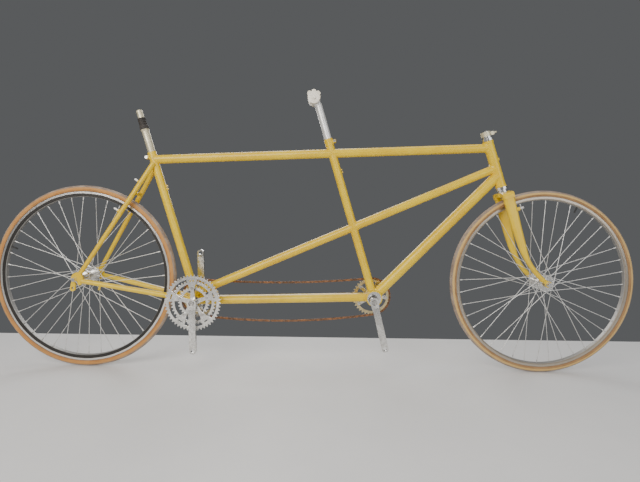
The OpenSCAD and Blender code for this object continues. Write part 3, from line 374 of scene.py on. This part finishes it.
def metal_finish(name, bright, dull, rough=(0.18, 0.42), grime_top=0.42, spots=0.66,
                 spot_colour=(0.20, 0.17, 0.13), grain=500.0, metal=1.0):
    """Bare metal: polished and clouded areas, fine scratches, oxide spots and low grime."""
    material, w, coords, join, bump = new_finish(name)
    cloudy = w.use(PATCHES, coords, Scale=30.0, Low=0.36, High=0.70)["Mask"]
    oxide = w.use(PATCHES, coords, Scale=210.0, Low=spots, High=spots + 0.07)["Mask"]
    scuffs = w.use(SCUFFS, coords, Scale=60.0, Amount=0.8)["Mask"]
    grime = w.use(LOW_GRIME, coords, Scale=90.0, Top=grime_top)["Mask"]
    colour = w.mix(cloudy, bright, dull)
    colour = w.mix(w.math("MULTIPLY", grime, 0.45), colour, GRIME_ON_METAL)
    colour = w.mix(w.math("MULTIPLY", oxide, 0.8), colour, spot_colour)
    join(colour, "Base Color")
    dirt = w.math("MAXIMUM", w.math("MULTIPLY", grime, 0.5), oxide)
    join(w.blend(dirt, metal, metal * 0.35), "Metallic")
    worn = w.math("ADD", w.math("MULTIPLY", cloudy, 0.6), w.math("MULTIPLY", scuffs, 0.4),
                  clamp=True)
    worn = w.math("MAXIMUM", worn, dirt)
    join(w.blend(worn, *rough), "Roughness")
    bump(w.use(GRAIN, coords, Scale=grain)["Height"], 0.00004, 0.18)
    return material


def rust_finish(name):
    """Chain steel: oily dark brown with orange bloom and a few worn bright edges."""
    material, w, coords, join, bump = new_finish(name)
    bloom = w.use(PATCHES, coords, Scale=70.0, Low=0.40, High=0.62)["Mask"]
    flakes = w.use(PATCHES, coords, Scale=420.0, Low=0.50, High=0.62)["Mask"]
    worn = w.use(PATCHES, coords, Scale=160.0, Low=0.60, High=0.66)["Mask"]
    colour = w.mix(bloom, (0.075, 0.038, 0.022), (0.30, 0.125, 0.045))
    colour = w.mix(w.math("MULTIPLY", flakes, 0.6), colour, (0.42, 0.22, 0.10))
    colour = w.mix(w.math("MULTIPLY", worn, 0.7), colour, (0.36, 0.32, 0.27))
    join(colour, "Base Color")
    join(w.blend(worn, 0.25, 0.9), "Metallic")
    join(w.blend(flakes, 0.45, 0.82), "Roughness")
    bump(w.math("ADD", w.use(GRAIN, coords, Scale=900.0)["Height"], flakes), 0.00020, 0.6)
    return material


def tyre_finish(name, gum_dark, gum_light, upper_wall):
    """Gum-sided tyre: amber side walls with a faint weave, and a pale dusty ribbed tread.

    upper_wall is the colour of the side wall next to the tread.
    """
    material, w, coords, join, bump = new_finish(name, Specular_IOR_Level=0.35)
    wheel = w.use(WHEEL_RADIUS, coords)
    radius, side, turn = wheel["Radius"], wheel["Side"], wheel["Turn"]
    tread = w.step(radius, *TREAD_BAND)
    shoulder = w.math("MULTIPLY", w.step(radius, *UPPER_WALL_BAND), 0.85)
    lower_band = w.math("SUBTRACT", 1.0, w.step(radius, *BEAD_BAND))
    dust = w.use(PATCHES, coords, Scale=26.0, Low=0.36, High=0.66)["Mask"]
    stains = w.use(PATCHES, coords, Scale=9.0, Low=0.45, High=0.70)["Mask"]
    gum = w.mix(dust, gum_dark, gum_light)
    gum = w.mix(w.math("MULTIPLY", stains, 0.45), gum, (0.26, 0.13, 0.05))
    gum = w.mix(w.math("MULTIPLY", lower_band, 0.55), gum, (0.30, 0.17, 0.08))
    rubber = w.mix(dust, (0.27, 0.20, 0.155), (0.43, 0.34, 0.265))
    side_wall = w.mix(shoulder, gum, upper_wall)
    colour = w.mix(tread, side_wall, rubber)
    join(colour, "Base Color")
    join(w.blend(dust, 0.62, 0.86), "Roughness")
    ribs = w.math("SINE", w.math("MULTIPLY", side, 2 * math.pi / TREAD_RIB_PITCH))
    cuts = w.math("SINE", w.math("MULTIPLY", turn, 420.0))
    block = w.math("MULTIPLY", w.math("ADD", ribs, w.math("MULTIPLY", cuts, 0.6)), 0.5)
    threads = w.math("ADD", w.math("MULTIPLY", radius, 5200.0), w.math("MULTIPLY", turn, 900.0))
    weave = w.math("MULTIPLY", w.math("SINE", threads), 0.12)
    fine = w.use(GRAIN, coords, Scale=700.0)["Height"]
    pattern = w.math("ADD", w.math("MULTIPLY", block, tread), w.math("ADD", weave, fine))
    bump(pattern, 0.00025, 0.6)
    return material


def rim_finish(name, body, track, lip_highlight_radius):
    """Rim with a brake track worn bright by the pads, a darker body below it, and a painted
    highlight on its inner lip.
    """
    material, w, coords, join, bump = new_finish(name)
    wheel = w.use(WHEEL_RADIUS, coords)
    radius, side = wheel["Radius"], wheel["Side"]
    uneven = w.use(PATCHES, coords, Scale=18.0, Low=0.3, High=0.75)["Mask"]
    spots = w.use(PATCHES, coords, Scale=240.0, Low=0.64, High=0.70)["Mask"]
    wander = w.math("ADD", radius, w.math("MULTIPLY", w.math("SUBTRACT", uneven, 0.5), 0.0012))
    above = w.step(wander, BRAKE_TRACK[0] - 0.0004, BRAKE_TRACK[0] + 0.0004)
    below = w.math("SUBTRACT", 1.0,
                   w.step(wander, BRAKE_TRACK[1] - 0.0004, BRAKE_TRACK[1] + 0.0004))
    outside = w.step(side, 0.0088, 0.0094)
    worn = w.math("MULTIPLY", w.math("MULTIPLY", above, below), outside)
    rings = w.math("SINE", w.math("MULTIPLY", radius, 2 * math.pi / LATHE_RING_PITCH))
    # Painted highlight: a pale grey band on the inner lip, where the rim curves inwards and catches
    # the light
    lip_highlight = w.math("SUBTRACT", 1.0, w.step(radius, lip_highlight_radius - 0.0003, lip_highlight_radius + 0.0003))
    colour = w.mix(w.math("MULTIPLY", uneven, 0.5), body, tuple(c * 1.5 for c in body))
    colour = w.mix(w.math("MULTIPLY", lip_highlight, 0.8), colour, (0.42, 0.41, 0.39))
    colour = w.mix(w.math("MULTIPLY", worn, 0.92), colour, track)
    colour = w.mix(w.math("MULTIPLY", spots, 0.55), colour, (0.16, 0.12, 0.09))
    join(colour, "Base Color")
    join(w.blend(worn, 0.55, 0.95), "Metallic")
    join(w.blend(worn, 0.44, 0.30), "Roughness")
    fine = w.use(GRAIN, coords, Scale=600.0)["Height"]
    lathe = w.math("MULTIPLY", rings, w.math("MULTIPLY", worn, 0.35))
    bump(w.math("ADD", fine, lathe), 0.00007, 0.5)
    return material


def rubber_finish(name, colour_a, colour_b, rough):
    """Moulded rubber, greyed by age, with dust in the low spots."""
    material, w, coords, join, bump = new_finish(name, Specular_IOR_Level=0.4)
    bloom = w.use(PATCHES, coords, Scale=60.0, Low=0.35, High=0.7)["Mask"]
    scuffs = w.use(SCUFFS, coords, Scale=50.0, Amount=0.9)["Mask"]
    colour = w.mix(bloom, colour_a, colour_b)
    colour = w.mix(w.math("MULTIPLY", scuffs, 0.4), colour, tuple(c * 2.2 for c in colour_b))
    join(colour, "Base Color")
    join(w.blend(bloom, *rough), "Roughness")
    bump(w.use(GRAIN, coords, Scale=800.0)["Height"], 0.00015, 0.6)
    return material


YELLOW = paint_finish("aged_yellow_enamel")
FITTINGS_PAINT = paint_finish("fittings_enamel_bare_pins",
                              unpainted=(STAY_LOW, BEHIND_STAY, STAY_PIN_FROM))
BOSS_PAINT = paint_finish("fork_boss_enamel_bare_pins",
                          unpainted=(HEAD_FOOT, BEFORE_FORK, FORK_PIN_FROM))
ALLOY = metal_finish("polished_alloy", (0.84, 0.83, 0.80), (0.70, 0.69, 0.66))
BRIGHT_ALLOY = metal_finish("bright_seatpost_alloy", (0.86, 0.85, 0.82), (0.78, 0.77, 0.73),
                            rough=(0.30, 0.42), spots=0.74, grain=300.0, metal=0.45)
CLAMP_ALLOY = metal_finish("cast_clamp_alloy", (0.82, 0.77, 0.66), (0.70, 0.64, 0.52),
                           rough=(0.38, 0.52), spots=0.70, grain=300.0, metal=0.35)
STEEL = metal_finish("plated_steel", (0.66, 0.65, 0.63), (0.44, 0.42, 0.39),
                     spots=0.62, spot_colour=(0.24, 0.12, 0.05))
SPOKE_STEEL = metal_finish("spoke_steel", (0.80, 0.79, 0.77), (0.70, 0.69, 0.66),
                           rough=(0.30, 0.45), spots=0.74, grain=200.0, metal=0.55)
GOLD = metal_finish("gold_anodised_alloy", (0.80, 0.66, 0.36), (0.66, 0.55, 0.32),
                    rough=(0.26, 0.46), spots=0.64)
CREAM = metal_finish("cream_anodised_alloy", (0.80, 0.73, 0.52), (0.66, 0.59, 0.40),
                     rough=(0.30, 0.50), spots=0.66, grain=300.0, metal=0.5)
RUST = rust_finish("rusty_chain_steel")
FRONT_TYRE = tyre_finish("tan_wall_tyre", (0.30, 0.165, 0.065), (0.42, 0.25, 0.110),
                         (0.66, 0.44, 0.160))
REAR_TYRE = tyre_finish("amber_wall_tyre", (0.50, 0.205, 0.045), (0.60, 0.29, 0.085),
                        (0.54, 0.28, 0.095))
# Each rim's last value is where its painted lip highlight starts
FRONT_RIM = rim_finish("front_rim_alloy", (0.30, 0.255, 0.20), (0.52, 0.46, 0.38),
                       FRONT_RIM_LIP_HIGHLIGHT)
REAR_RIM = rim_finish("dark_rim_worn_track", (0.040, 0.037, 0.034), (0.82, 0.80, 0.76),
                      REAR_RIM_LIP_HIGHLIGHT)
TUBE_RUBBER = rubber_finish("inner_tube_rubber", (0.020, 0.020, 0.020), (0.045, 0.043, 0.040),
                            (0.55, 0.75))
SLEEVE_RUBBER = rubber_finish("ribbed_sleeve_rubber", (0.030, 0.026, 0.023), (0.070, 0.060, 0.052),
                              (0.50, 0.72))

PAINTED = [
    "head_tube", "front_top_tube", "rear_top_tube", "front_lateral_tube", "rear_lateral_tube",
    "down_tube", "boom_tube", "captain_seat_tube", "stoker_seat_tube", "captain_bb_shell",
    "stoker_bb_shell", "chain_stays", "seat_stays", "rear_dropouts", "frame_fittings",
    "fork_crown", "fork_blades", "fork_tips", "fork_brake_bosses"]
FINISHES = {name: YELLOW for name in PAINTED}
FINISHES.update({
    "frame_fittings": FITTINGS_PAINT, "fork_brake_bosses": BOSS_PAINT,
    "seat_binder_bolts": STEEL, "headset_cups": ALLOY, "headset_races": ALLOY,
    "headset_locknut": CREAM, "stoker_bottom_bracket": STEEL, "captain_bottom_bracket": STEEL,
    "eccentric_insert": ALLOY, "rear_axle": STEEL, "rear_quick_release": ALLOY,
    "front_axle": STEEL, "front_quick_release": ALLOY, "steerer_tube": STEEL,
    "timing_chain": RUST, "front_hub": ALLOY, "rear_hub": ALLOY,
    "front_spokes": SPOKE_STEEL, "rear_spokes": SPOKE_STEEL,
    "front_rim": FRONT_RIM, "rear_rim": REAR_RIM, "front_inner_tube": TUBE_RUBBER,
    "rear_inner_tube": TUBE_RUBBER, "front_tyre": FRONT_TYRE, "rear_tyre": REAR_TYRE,
    "stoker_spindle": STEEL, "captain_spindle": STEEL, "stoker_crank_bolts": STEEL,
    "captain_crank_bolts": STEEL, "stoker_right_crank": ALLOY, "stoker_left_crank": ALLOY,
    "captain_right_crank": ALLOY, "captain_left_crank": ALLOY, "outer_chainring": ALLOY,
    "middle_chainring": ALLOY, "inner_chainring": ALLOY, "stoker_timing_ring": GOLD,
    "captain_timing_ring": GOLD, "captain_seatpost": BRIGHT_ALLOY,
    "captain_saddle_clamp": CLAMP_ALLOY, "stoker_seatpost": CREAM,
    "stoker_post_sleeve": SLEEVE_RUBBER})

for node_name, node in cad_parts.items():
    node.data.materials.clear()
    node.data.materials.append(FINISHES[node_name])


# ---- Fillets of braze at the tube joints -----------------------------------------------------

def tube_line(line, x):
    """The point of a sloping tube's centre line at x along the bicycle."""
    height, angle = line
    return Vector((x, 0, height + (x - REAR_X) * math.tan(angle)))


def on_tube(origin, direction, radius, point, away):
    """Where a ray from point along away enters the tube, measured along the ray, or None."""
    rel = point - origin
    flat = rel - direction * rel.dot(direction)
    slope = away - direction * away.dot(direction)
    a, b, c = slope.length_squared, 2 * flat.dot(slope), flat.length_squared - radius ** 2
    inside = b * b - 4 * a * c
    if inside < 0 or a < 1e-9:
        return None
    return (-b - math.sqrt(inside)) / (2 * a)


def braze_bead(mesh, main, branch, size, rings=40, steps=6):
    """A hollow-faced fillet round the branch where it meets the main tube.

    main is (point, direction, radius); branch is (far point, direction to the main tube, radius).
    """
    origin, direction, main_r = main
    start, toward, branch_r = branch
    across = toward.cross(Vector((0, 1, 0))).normalized()
    other = toward.cross(across).normalized()
    rows = []
    for i in range(rings):
        turn = 2 * math.pi * i / rings
        radial = across * math.cos(turn) + other * math.sin(turn)
        reach = on_tube(origin, direction, main_r, start + radial * branch_r, toward)
        if reach is None:
            return
        corner = start + radial * branch_r + toward * reach
        on_branch = corner - toward * size - radial * EDGE_SINK
        rel = corner - origin
        out = (rel - direction * rel.dot(direction)).normalized()
        slide = (radial - out * radial.dot(out))
        slide = slide.normalized() if slide.length > 1e-6 else direction
        moved = corner + slide * size - origin
        along = direction * moved.dot(direction)
        on_main = origin + along + (moved - along).normalized() * (main_r - EDGE_SINK)
        sunk = corner - out * ROOT_SINK + toward * ROOT_SHIFT
        row = []
        for k in range(steps + 1):
            t = k / steps
            p = on_branch * (1 - t) ** 2 + corner * (2 * t * (1 - t)) + on_main * t * t
            row.append(mesh.verts.new(p))
        row.append(mesh.verts.new(sunk))
        rows.append(row)
    count = len(rows[0])
    for i in range(rings):
        a, b = rows[i], rows[(i + 1) % rings]
        for k in range(count):
            n = (k + 1) % count
            mesh.faces.new((a[k], a[n], b[n], b[k]))


def finish_mesh(mesh, name, material, smooth=True):
    """Turns a bmesh into a placed object with its normals outwards."""
    bmesh.ops.recalc_face_normals(mesh, faces=mesh.faces)
    data = bpy.data.meshes.new(name)
    mesh.to_mesh(data)
    mesh.free()
    data.materials.append(material)
    if smooth:
        data.polygons.foreach_set("use_smooth", [True] * len(data.polygons))
    piece = bpy.data.objects.new(name, data)
    bpy.context.scene.collection.objects.link(piece)
    return piece


def sloping(line, forwards):
    """Unit direction of a sloping tube, forwards 1 towards the head tube or -1 to the rear."""
    return Vector((math.cos(line[1]), 0, math.sin(line[1]))) * forwards


HEAD = (HEAD_FOOT, HEAD_DIR, HEAD_R)
CAPTAIN_SEAT = (CAPTAIN_SHELL, SEAT_DIR, SEAT_TUBE_R)
STOKER_SEAT = (STOKER_BB, SEAT_DIR, SEAT_TUBE_R)
CAPTAIN_BB = (CAPTAIN_SHELL, Vector((0, 1, 0)), CAPTAIN_SHELL_R)
STOKER_SHELL = (STOKER_BB, Vector((0, 1, 0)), STOKER_SHELL_R)
DOWN_DIR = Vector((math.cos(DOWN_TUBE_ANGLE), 0, math.sin(DOWN_TUBE_ANGLE)))

# Points on the sloping tubes well between their joints: in front of the captain's seat tube
# and behind it
MIDWAY_X = {"front": 0.40, "rear": -0.30}


def sloping_branch(line, part, forwards, radius):
    """A sloping tube's part running to a joint at its front (1) or rear (-1) end."""
    return tube_line(line, MIDWAY_X[part]), sloping(line, forwards), radius


def top_branch(part, forwards):
    """The top tube as the branch of a joint."""
    return sloping_branch(TOP_TUBE, part, forwards, TOP_TUBE_R)


def lateral_branch(part, forwards):
    """The lateral tube as the branch of a joint."""
    return sloping_branch(LATERAL_TUBE, part, forwards, LATERAL_R)


# Each row is the main tube, the branch that meets it, and the fillet's size
JOINTS = [
    (HEAD, top_branch("front", 1), 9 * MM),
    (HEAD, lateral_branch("front", 1), 8 * MM),
    (HEAD, (CAPTAIN_SHELL + DOWN_DIR * 0.3, DOWN_DIR, DOWN_TUBE_R), 9 * MM),
    (CAPTAIN_SEAT, top_branch("front", -1), 8 * MM),
    (CAPTAIN_SEAT, top_branch("rear", 1), 8 * MM),
    (CAPTAIN_SEAT, lateral_branch("front", -1), 8 * MM),
    (CAPTAIN_SEAT, lateral_branch("rear", 1), 8 * MM),
    (STOKER_SEAT, top_branch("rear", -1), 8 * MM),
    (STOKER_SEAT, lateral_branch("rear", -1), 8 * MM),
    (CAPTAIN_BB, (CAPTAIN_SHELL + SEAT_DIR * 0.2, -SEAT_DIR, SEAT_TUBE_R), 7 * MM),
    (CAPTAIN_BB, (CAPTAIN_SHELL + DOWN_DIR * 0.2, -DOWN_DIR, DOWN_TUBE_R), 8 * MM),
    (STOKER_SHELL, (STOKER_BB + SEAT_DIR * 0.2, -SEAT_DIR, SEAT_TUBE_R), 6 * MM),
]


def make_fillets():
    """All fillets as one painted piece on the frame."""
    mesh = bmesh.new()
    for main, branch, size in JOINTS:
        braze_bead(mesh, main, branch, size)
    piece = finish_mesh(mesh, "tube_joint_fillets", YELLOW)
    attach(piece, "frame")


make_fillets()


# ---- Timing chain ----------------------------------------------------------------------------

def middle(node_name):
    """The middle of a CAD node's box."""
    low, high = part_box(node_name)
    return (Vector(low) + Vector(high)) / 2


def arc_points(centre, radius, start, end, count):
    """Points along an arc, with angles in radians."""
    return [(centre[0] + radius * math.cos(start + (end - start) * i / count),
             centre[1] + radius * math.sin(start + (end - start) * i / count))
            for i in range(count)]


def chain_loop():
    """The chain's centre line: round both rings, with a hanging arc for each run."""
    chain_low, chain_high = (Vector(v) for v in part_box("timing_chain"))
    side = (chain_low.y + chain_high.y) / 2
    rear = middle("stoker_timing_ring")
    front = middle("captain_timing_ring")
    gap = Vector((front.x - rear.x, front.z - rear.z))
    span, tilt = gap.length, math.atan2(gap.y, gap.x)
    ring = CHAIN_PITCH / 2 / math.sin(math.pi / TIMING_TEETH)
    low_h = (span ** 2 / 4 - LOWER_SAG ** 2) / (2 * LOWER_SAG)
    low_r = low_h + LOWER_SAG + ring
    low_a = math.asin(span / 2 / (low_r - ring))
    up_h = (span ** 2 / 4 - UPPER_SAG ** 2) / (2 * UPPER_SAG)
    up_r = up_h - ring + UPPER_SAG
    up_a = math.asin(span / 2 / (up_r + ring))
    quarter = math.pi / 2
    flat = arc_points((0, 0), ring, quarter - up_a, 3 * quarter - low_a, RING_POINTS)
    flat += arc_points((span / 2, low_h), low_r, 3 * quarter - low_a, 3 * quarter + low_a,
                       RUN_POINTS)
    flat += arc_points((span, 0), ring, -quarter + low_a, quarter + up_a, RING_POINTS)
    flat += arc_points((span / 2, up_h), up_r, 3 * quarter + up_a, 3 * quarter - up_a,
                       RUN_POINTS)
    return [Vector((rear.x + x * math.cos(tilt) - z * math.sin(tilt), side,
                    rear.z + x * math.sin(tilt) + z * math.cos(tilt))) for x, z in flat]


def link_plates(name, half_gap, thick, end_r, waist_r):
    """A pair of waisted chain plates reaching one pitch along X, either side of the middle."""
    mesh = bmesh.new()
    outline = []
    for centre, start in ((0.0, math.pi / 2), (CHAIN_PITCH, -math.pi / 2)):
        for i in range(PLATE_END_STEPS + 1):
            turn = start + math.pi * i / PLATE_END_STEPS
            outline.append((centre + end_r * math.cos(turn), end_r * math.sin(turn)))
        outline.append((CHAIN_PITCH / 2, -waist_r if centre == 0.0 else waist_r))
    for side in (-1, 1):
        faces = []
        for depth in (half_gap, half_gap + thick):
            ring = [mesh.verts.new((x, side * depth, z)) for x, z in outline]
            faces.append(ring)
            mesh.faces.new(ring)
        for i in range(len(outline)):
            j = (i + 1) % len(outline)
            mesh.faces.new((faces[0][i], faces[0][j], faces[1][j], faces[1][i]))
    return finish_mesh(mesh, name, RUST, smooth=False)


def link_pin(name, roller_r, roller_half, pin_r, pin_half):
    """A roller with its pin, both across the chain."""
    mesh = bmesh.new()
    for radius, half in ((roller_r, roller_half), (pin_r, pin_half)):
        turned = Matrix.Rotation(math.pi / 2, 4, "X")
        bmesh.ops.create_cone(mesh, cap_ends=True, segments=14, radius1=radius, radius2=radius,
                              depth=2 * half, matrix=turned)
    return finish_mesh(mesh, name, RUST, smooth=False)


# The index of a Compare node's second input for whole numbers
WHOLE_NUMBER_B = 3


def chain_tree(inner, outer, pin):
    """Geometry nodes that set plates and rollers along a closed line, inner and outer in turn."""
    tree = bpy.data.node_groups.new("roller_chain", "GeometryNodeTree")
    face = tree.interface
    face.new_socket(name="Geometry", in_out="INPUT", socket_type="NodeSocketGeometry")
    links_socket = face.new_socket(name="Links", in_out="INPUT", socket_type="NodeSocketInt")
    shape_sockets = {label: face.new_socket(name=label, in_out="INPUT",
                                            socket_type="NodeSocketObject")
                     for label in ("Inner Plates", "Outer Plates", "Roller and Pin")}
    finish_socket = face.new_socket(name="Finish", in_out="INPUT", socket_type="NodeSocketMaterial")
    face.new_socket(name="Geometry", in_out="OUTPUT", socket_type="NodeSocketGeometry")
    w = Wiring(tree)
    start = tree.nodes.new("NodeGroupInput").outputs
    end = tree.nodes.new("NodeGroupOutput").inputs
    points = w.add("GeometryNodeCurveToPoints", {"mode": "COUNT"},
                   {"Curve": start["Geometry"], "Count": start["Links"]})
    place = w.add("GeometryNodeInputPosition").outputs[0]
    index = w.add("GeometryNodeInputIndex").outputs[0]
    after = w.add("FunctionNodeIntegerMath", {"operation": "ADD"}, {0: index})
    after.inputs[1].default_value = 1
    following = w.add("FunctionNodeIntegerMath", {"operation": "MODULO"},
                      {0: after.outputs[0], 1: start["Links"]})
    next_place = w.add("GeometryNodeFieldAtIndex", {"data_type": "FLOAT_VECTOR"},
                       {"Index": following.outputs[0]})
    tree.links.new(place, next_place.inputs["Value"])
    along = w.add("ShaderNodeVectorMath", {"operation": "SUBTRACT"},
                  {0: next_place.outputs[0], 1: place})
    turned = w.add("FunctionNodeAlignRotationToVector", {"axis": "X", "pivot_axis": "Y"},
                   {"Vector": along.outputs[0]})
    odd = w.add("FunctionNodeIntegerMath", {"operation": "MODULO"}, {0: index})
    odd.inputs[1].default_value = 2
    is_odd = w.add("FunctionNodeCompare", {"data_type": "INT", "operation": "EQUAL"},
                   {"A": odd.outputs[0]})
    is_odd.inputs[WHOLE_NUMBER_B].default_value = 1
    is_even = w.add("FunctionNodeBooleanMath", {"operation": "NOT"}, {0: is_odd.outputs[0]})
    joined = tree.nodes.new("GeometryNodeJoinGeometry")
    for label, chosen in (("Inner Plates", is_even.outputs[0]), ("Outer Plates", is_odd.outputs[0]),
                          ("Roller and Pin", None)):
        shape = w.add("GeometryNodeObjectInfo", links={"Object": start[label]})
        placed = w.add("GeometryNodeInstanceOnPoints", links={
            "Points": points.outputs["Points"], "Instance": shape.outputs["Geometry"],
            "Rotation": turned.outputs[0]})
        if chosen is not None:
            tree.links.new(chosen, placed.inputs["Selection"])
        tree.links.new(placed.outputs[0], joined.inputs[0])
    real = w.add("GeometryNodeRealizeInstances", links={"Geometry": joined.outputs[0]})
    coloured = w.add("GeometryNodeSetMaterial",
                     links={"Geometry": real.outputs[0], "Material": start["Finish"]})
    tree.links.new(coloured.outputs[0], end["Geometry"])
    values = {links_socket.identifier: CHAIN_LINKS, finish_socket.identifier: RUST}
    for label, shape in (("Inner Plates", inner), ("Outer Plates", outer), ("Roller and Pin", pin)):
        values[shape_sockets[label].identifier] = shape
    return tree, values


def make_chain():
    """The timing chain link by link, in place of the plain CAD one."""
    low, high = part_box("timing_chain")
    half = (high[1] - low[1]) / 2
    outer_gap = half - PIN_PROUD - PLATE_THICK
    inner_gap = outer_gap - PLATE_THICK - PLATE_GAP
    inner = link_plates("inner_plates", inner_gap, PLATE_THICK, *INNER_PLATE)
    outer = link_plates("outer_plates", outer_gap, PLATE_THICK, *OUTER_PLATE)
    pin = link_pin("roller_and_pin", ROLLER_R, inner_gap, CHAIN_PIN_R, half - PIN_INSET)
    points = chain_loop()
    curve = bpy.data.curves.new("chain_line", "CURVE")
    curve.dimensions = "3D"
    spline = curve.splines.new("POLY")
    spline.points.add(len(points) - 1)
    for target, point in zip(spline.points, points):
        target.co = (*point, 1)
    spline.use_cyclic_u = True
    line = bpy.data.objects.new("chain_line", curve)
    bpy.context.scene.collection.objects.link(line)
    tree, values = chain_tree(inner, outer, pin)
    modifier = line.modifiers.new("links", "NODES")
    modifier.node_group = tree
    for identifier, value in values.items():
        modifier[identifier] = value
    graph = bpy.context.evaluated_depsgraph_get()
    data = bpy.data.meshes.new_from_object(line.evaluated_get(graph), depsgraph=graph)
    line.modifiers.remove(modifier)
    for helper in (line, inner, outer, pin):
        bpy.data.objects.remove(helper)
    data.name = "timing_chain_links"
    chain = bpy.data.objects.new("timing_chain_links", data)
    bpy.context.scene.collection.objects.link(chain)
    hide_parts("timing_chain")
    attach(chain, "frame")


make_chain()


# ---- Floor, light and camera -----------------------------------------------------------------

def make_floor():
    """A pale matt floor under the wheels."""
    mesh = bmesh.new()
    bmesh.ops.create_grid(mesh, x_segments=1, y_segments=1, size=1.0)
    material, w, coords, join, bump = new_finish("pale_floor")
    cloud = w.use(PATCHES, coords, Scale=1.4, Low=0.3, High=0.8)["Mask"]
    join(w.mix(cloud, (0.80, 0.79, 0.78), (0.74, 0.735, 0.73)), "Base Color")
    join(w.blend(cloud, 0.62, 0.74), "Roughness")
    bump(w.use(GRAIN, coords, Scale=120.0)["Height"], 0.0003, 0.3)
    floor = finish_mesh(mesh, "floor", material, smooth=False)
    for vertex in floor.data.vertices:
        vertex.co = (vertex.co.x * FLOOR_HALF_LENGTH,
                     vertex.co.y * FLOOR_HALF_WIDTH + FLOOR_MIDDLE_Y, -FLOOR_DROP)


def area_light(name, place, target, size, power, colour=(1, 1, 1)):
    """A square soft light aimed at a point."""
    data = bpy.data.lights.new(name, "AREA")
    data.size = size
    data.energy = power
    data.color = colour
    light = bpy.data.objects.new(name, data)
    light.location = place
    light.rotation_euler = (Vector(target) - Vector(place)).to_track_quat("-Z", "Y").to_euler()
    bpy.context.scene.collection.objects.link(light)


def make_light():
    """Soft studio light from above and in front, and a plain grey surround."""
    area_light("key", place=(-1.3, -2.8, 2.0), target=(0, 0, 0.45), size=2.4, power=105,
               colour=(1.0, 0.97, 0.93))
    area_light("fill", place=(2.2, -2.4, 1.5), target=(0.2, 0, 0.5), size=2.4, power=36,
               colour=(0.95, 0.97, 1.0))
    area_light("top", place=(0.2, 0.5, 3.0), target=(0, 0, 0.3), size=2.8, power=36)
    area_light("back", place=(-0.6, 2.8, 1.9), target=(0, 0, 0.5), size=2.0, power=50)
    world = bpy.data.worlds.new("grey_surround")
    world.use_nodes = True
    surround = world.node_tree.nodes["Background"]
    surround.inputs["Color"].default_value = (0.30, 0.31, 0.32, 1)
    surround.inputs["Strength"].default_value = 0.35
    bpy.context.scene.world = world


def make_camera():
    """The camera that the views start from, on the right side of the bicycle."""
    yaw, pitch, roll = (math.radians(v) for v in CAMERA_TURN)
    forward = Vector((-math.sin(yaw) * math.cos(pitch), math.cos(yaw) * math.cos(pitch),
                      math.sin(pitch)))
    right = Vector((math.cos(yaw), math.sin(yaw), 0))
    up = right.cross(forward)
    across = right * math.cos(roll) + up * math.sin(roll)
    upright = up * math.cos(roll) - right * math.sin(roll)
    data = bpy.data.cameras.new("camera")
    data.lens = CAMERA_LENS
    data.sensor_width = CAMERA_SENSOR
    data.shift_x, data.shift_y = CAMERA_SHIFT
    camera = bpy.data.objects.new("camera", data)
    turn = Matrix((across, upright, -forward)).transposed().to_4x4()
    camera.matrix_world = Matrix.Translation(CAMERA_PLACE) @ turn
    bpy.context.scene.collection.objects.link(camera)
    bpy.context.scene.camera = camera


make_floor()
make_light()
make_camera()
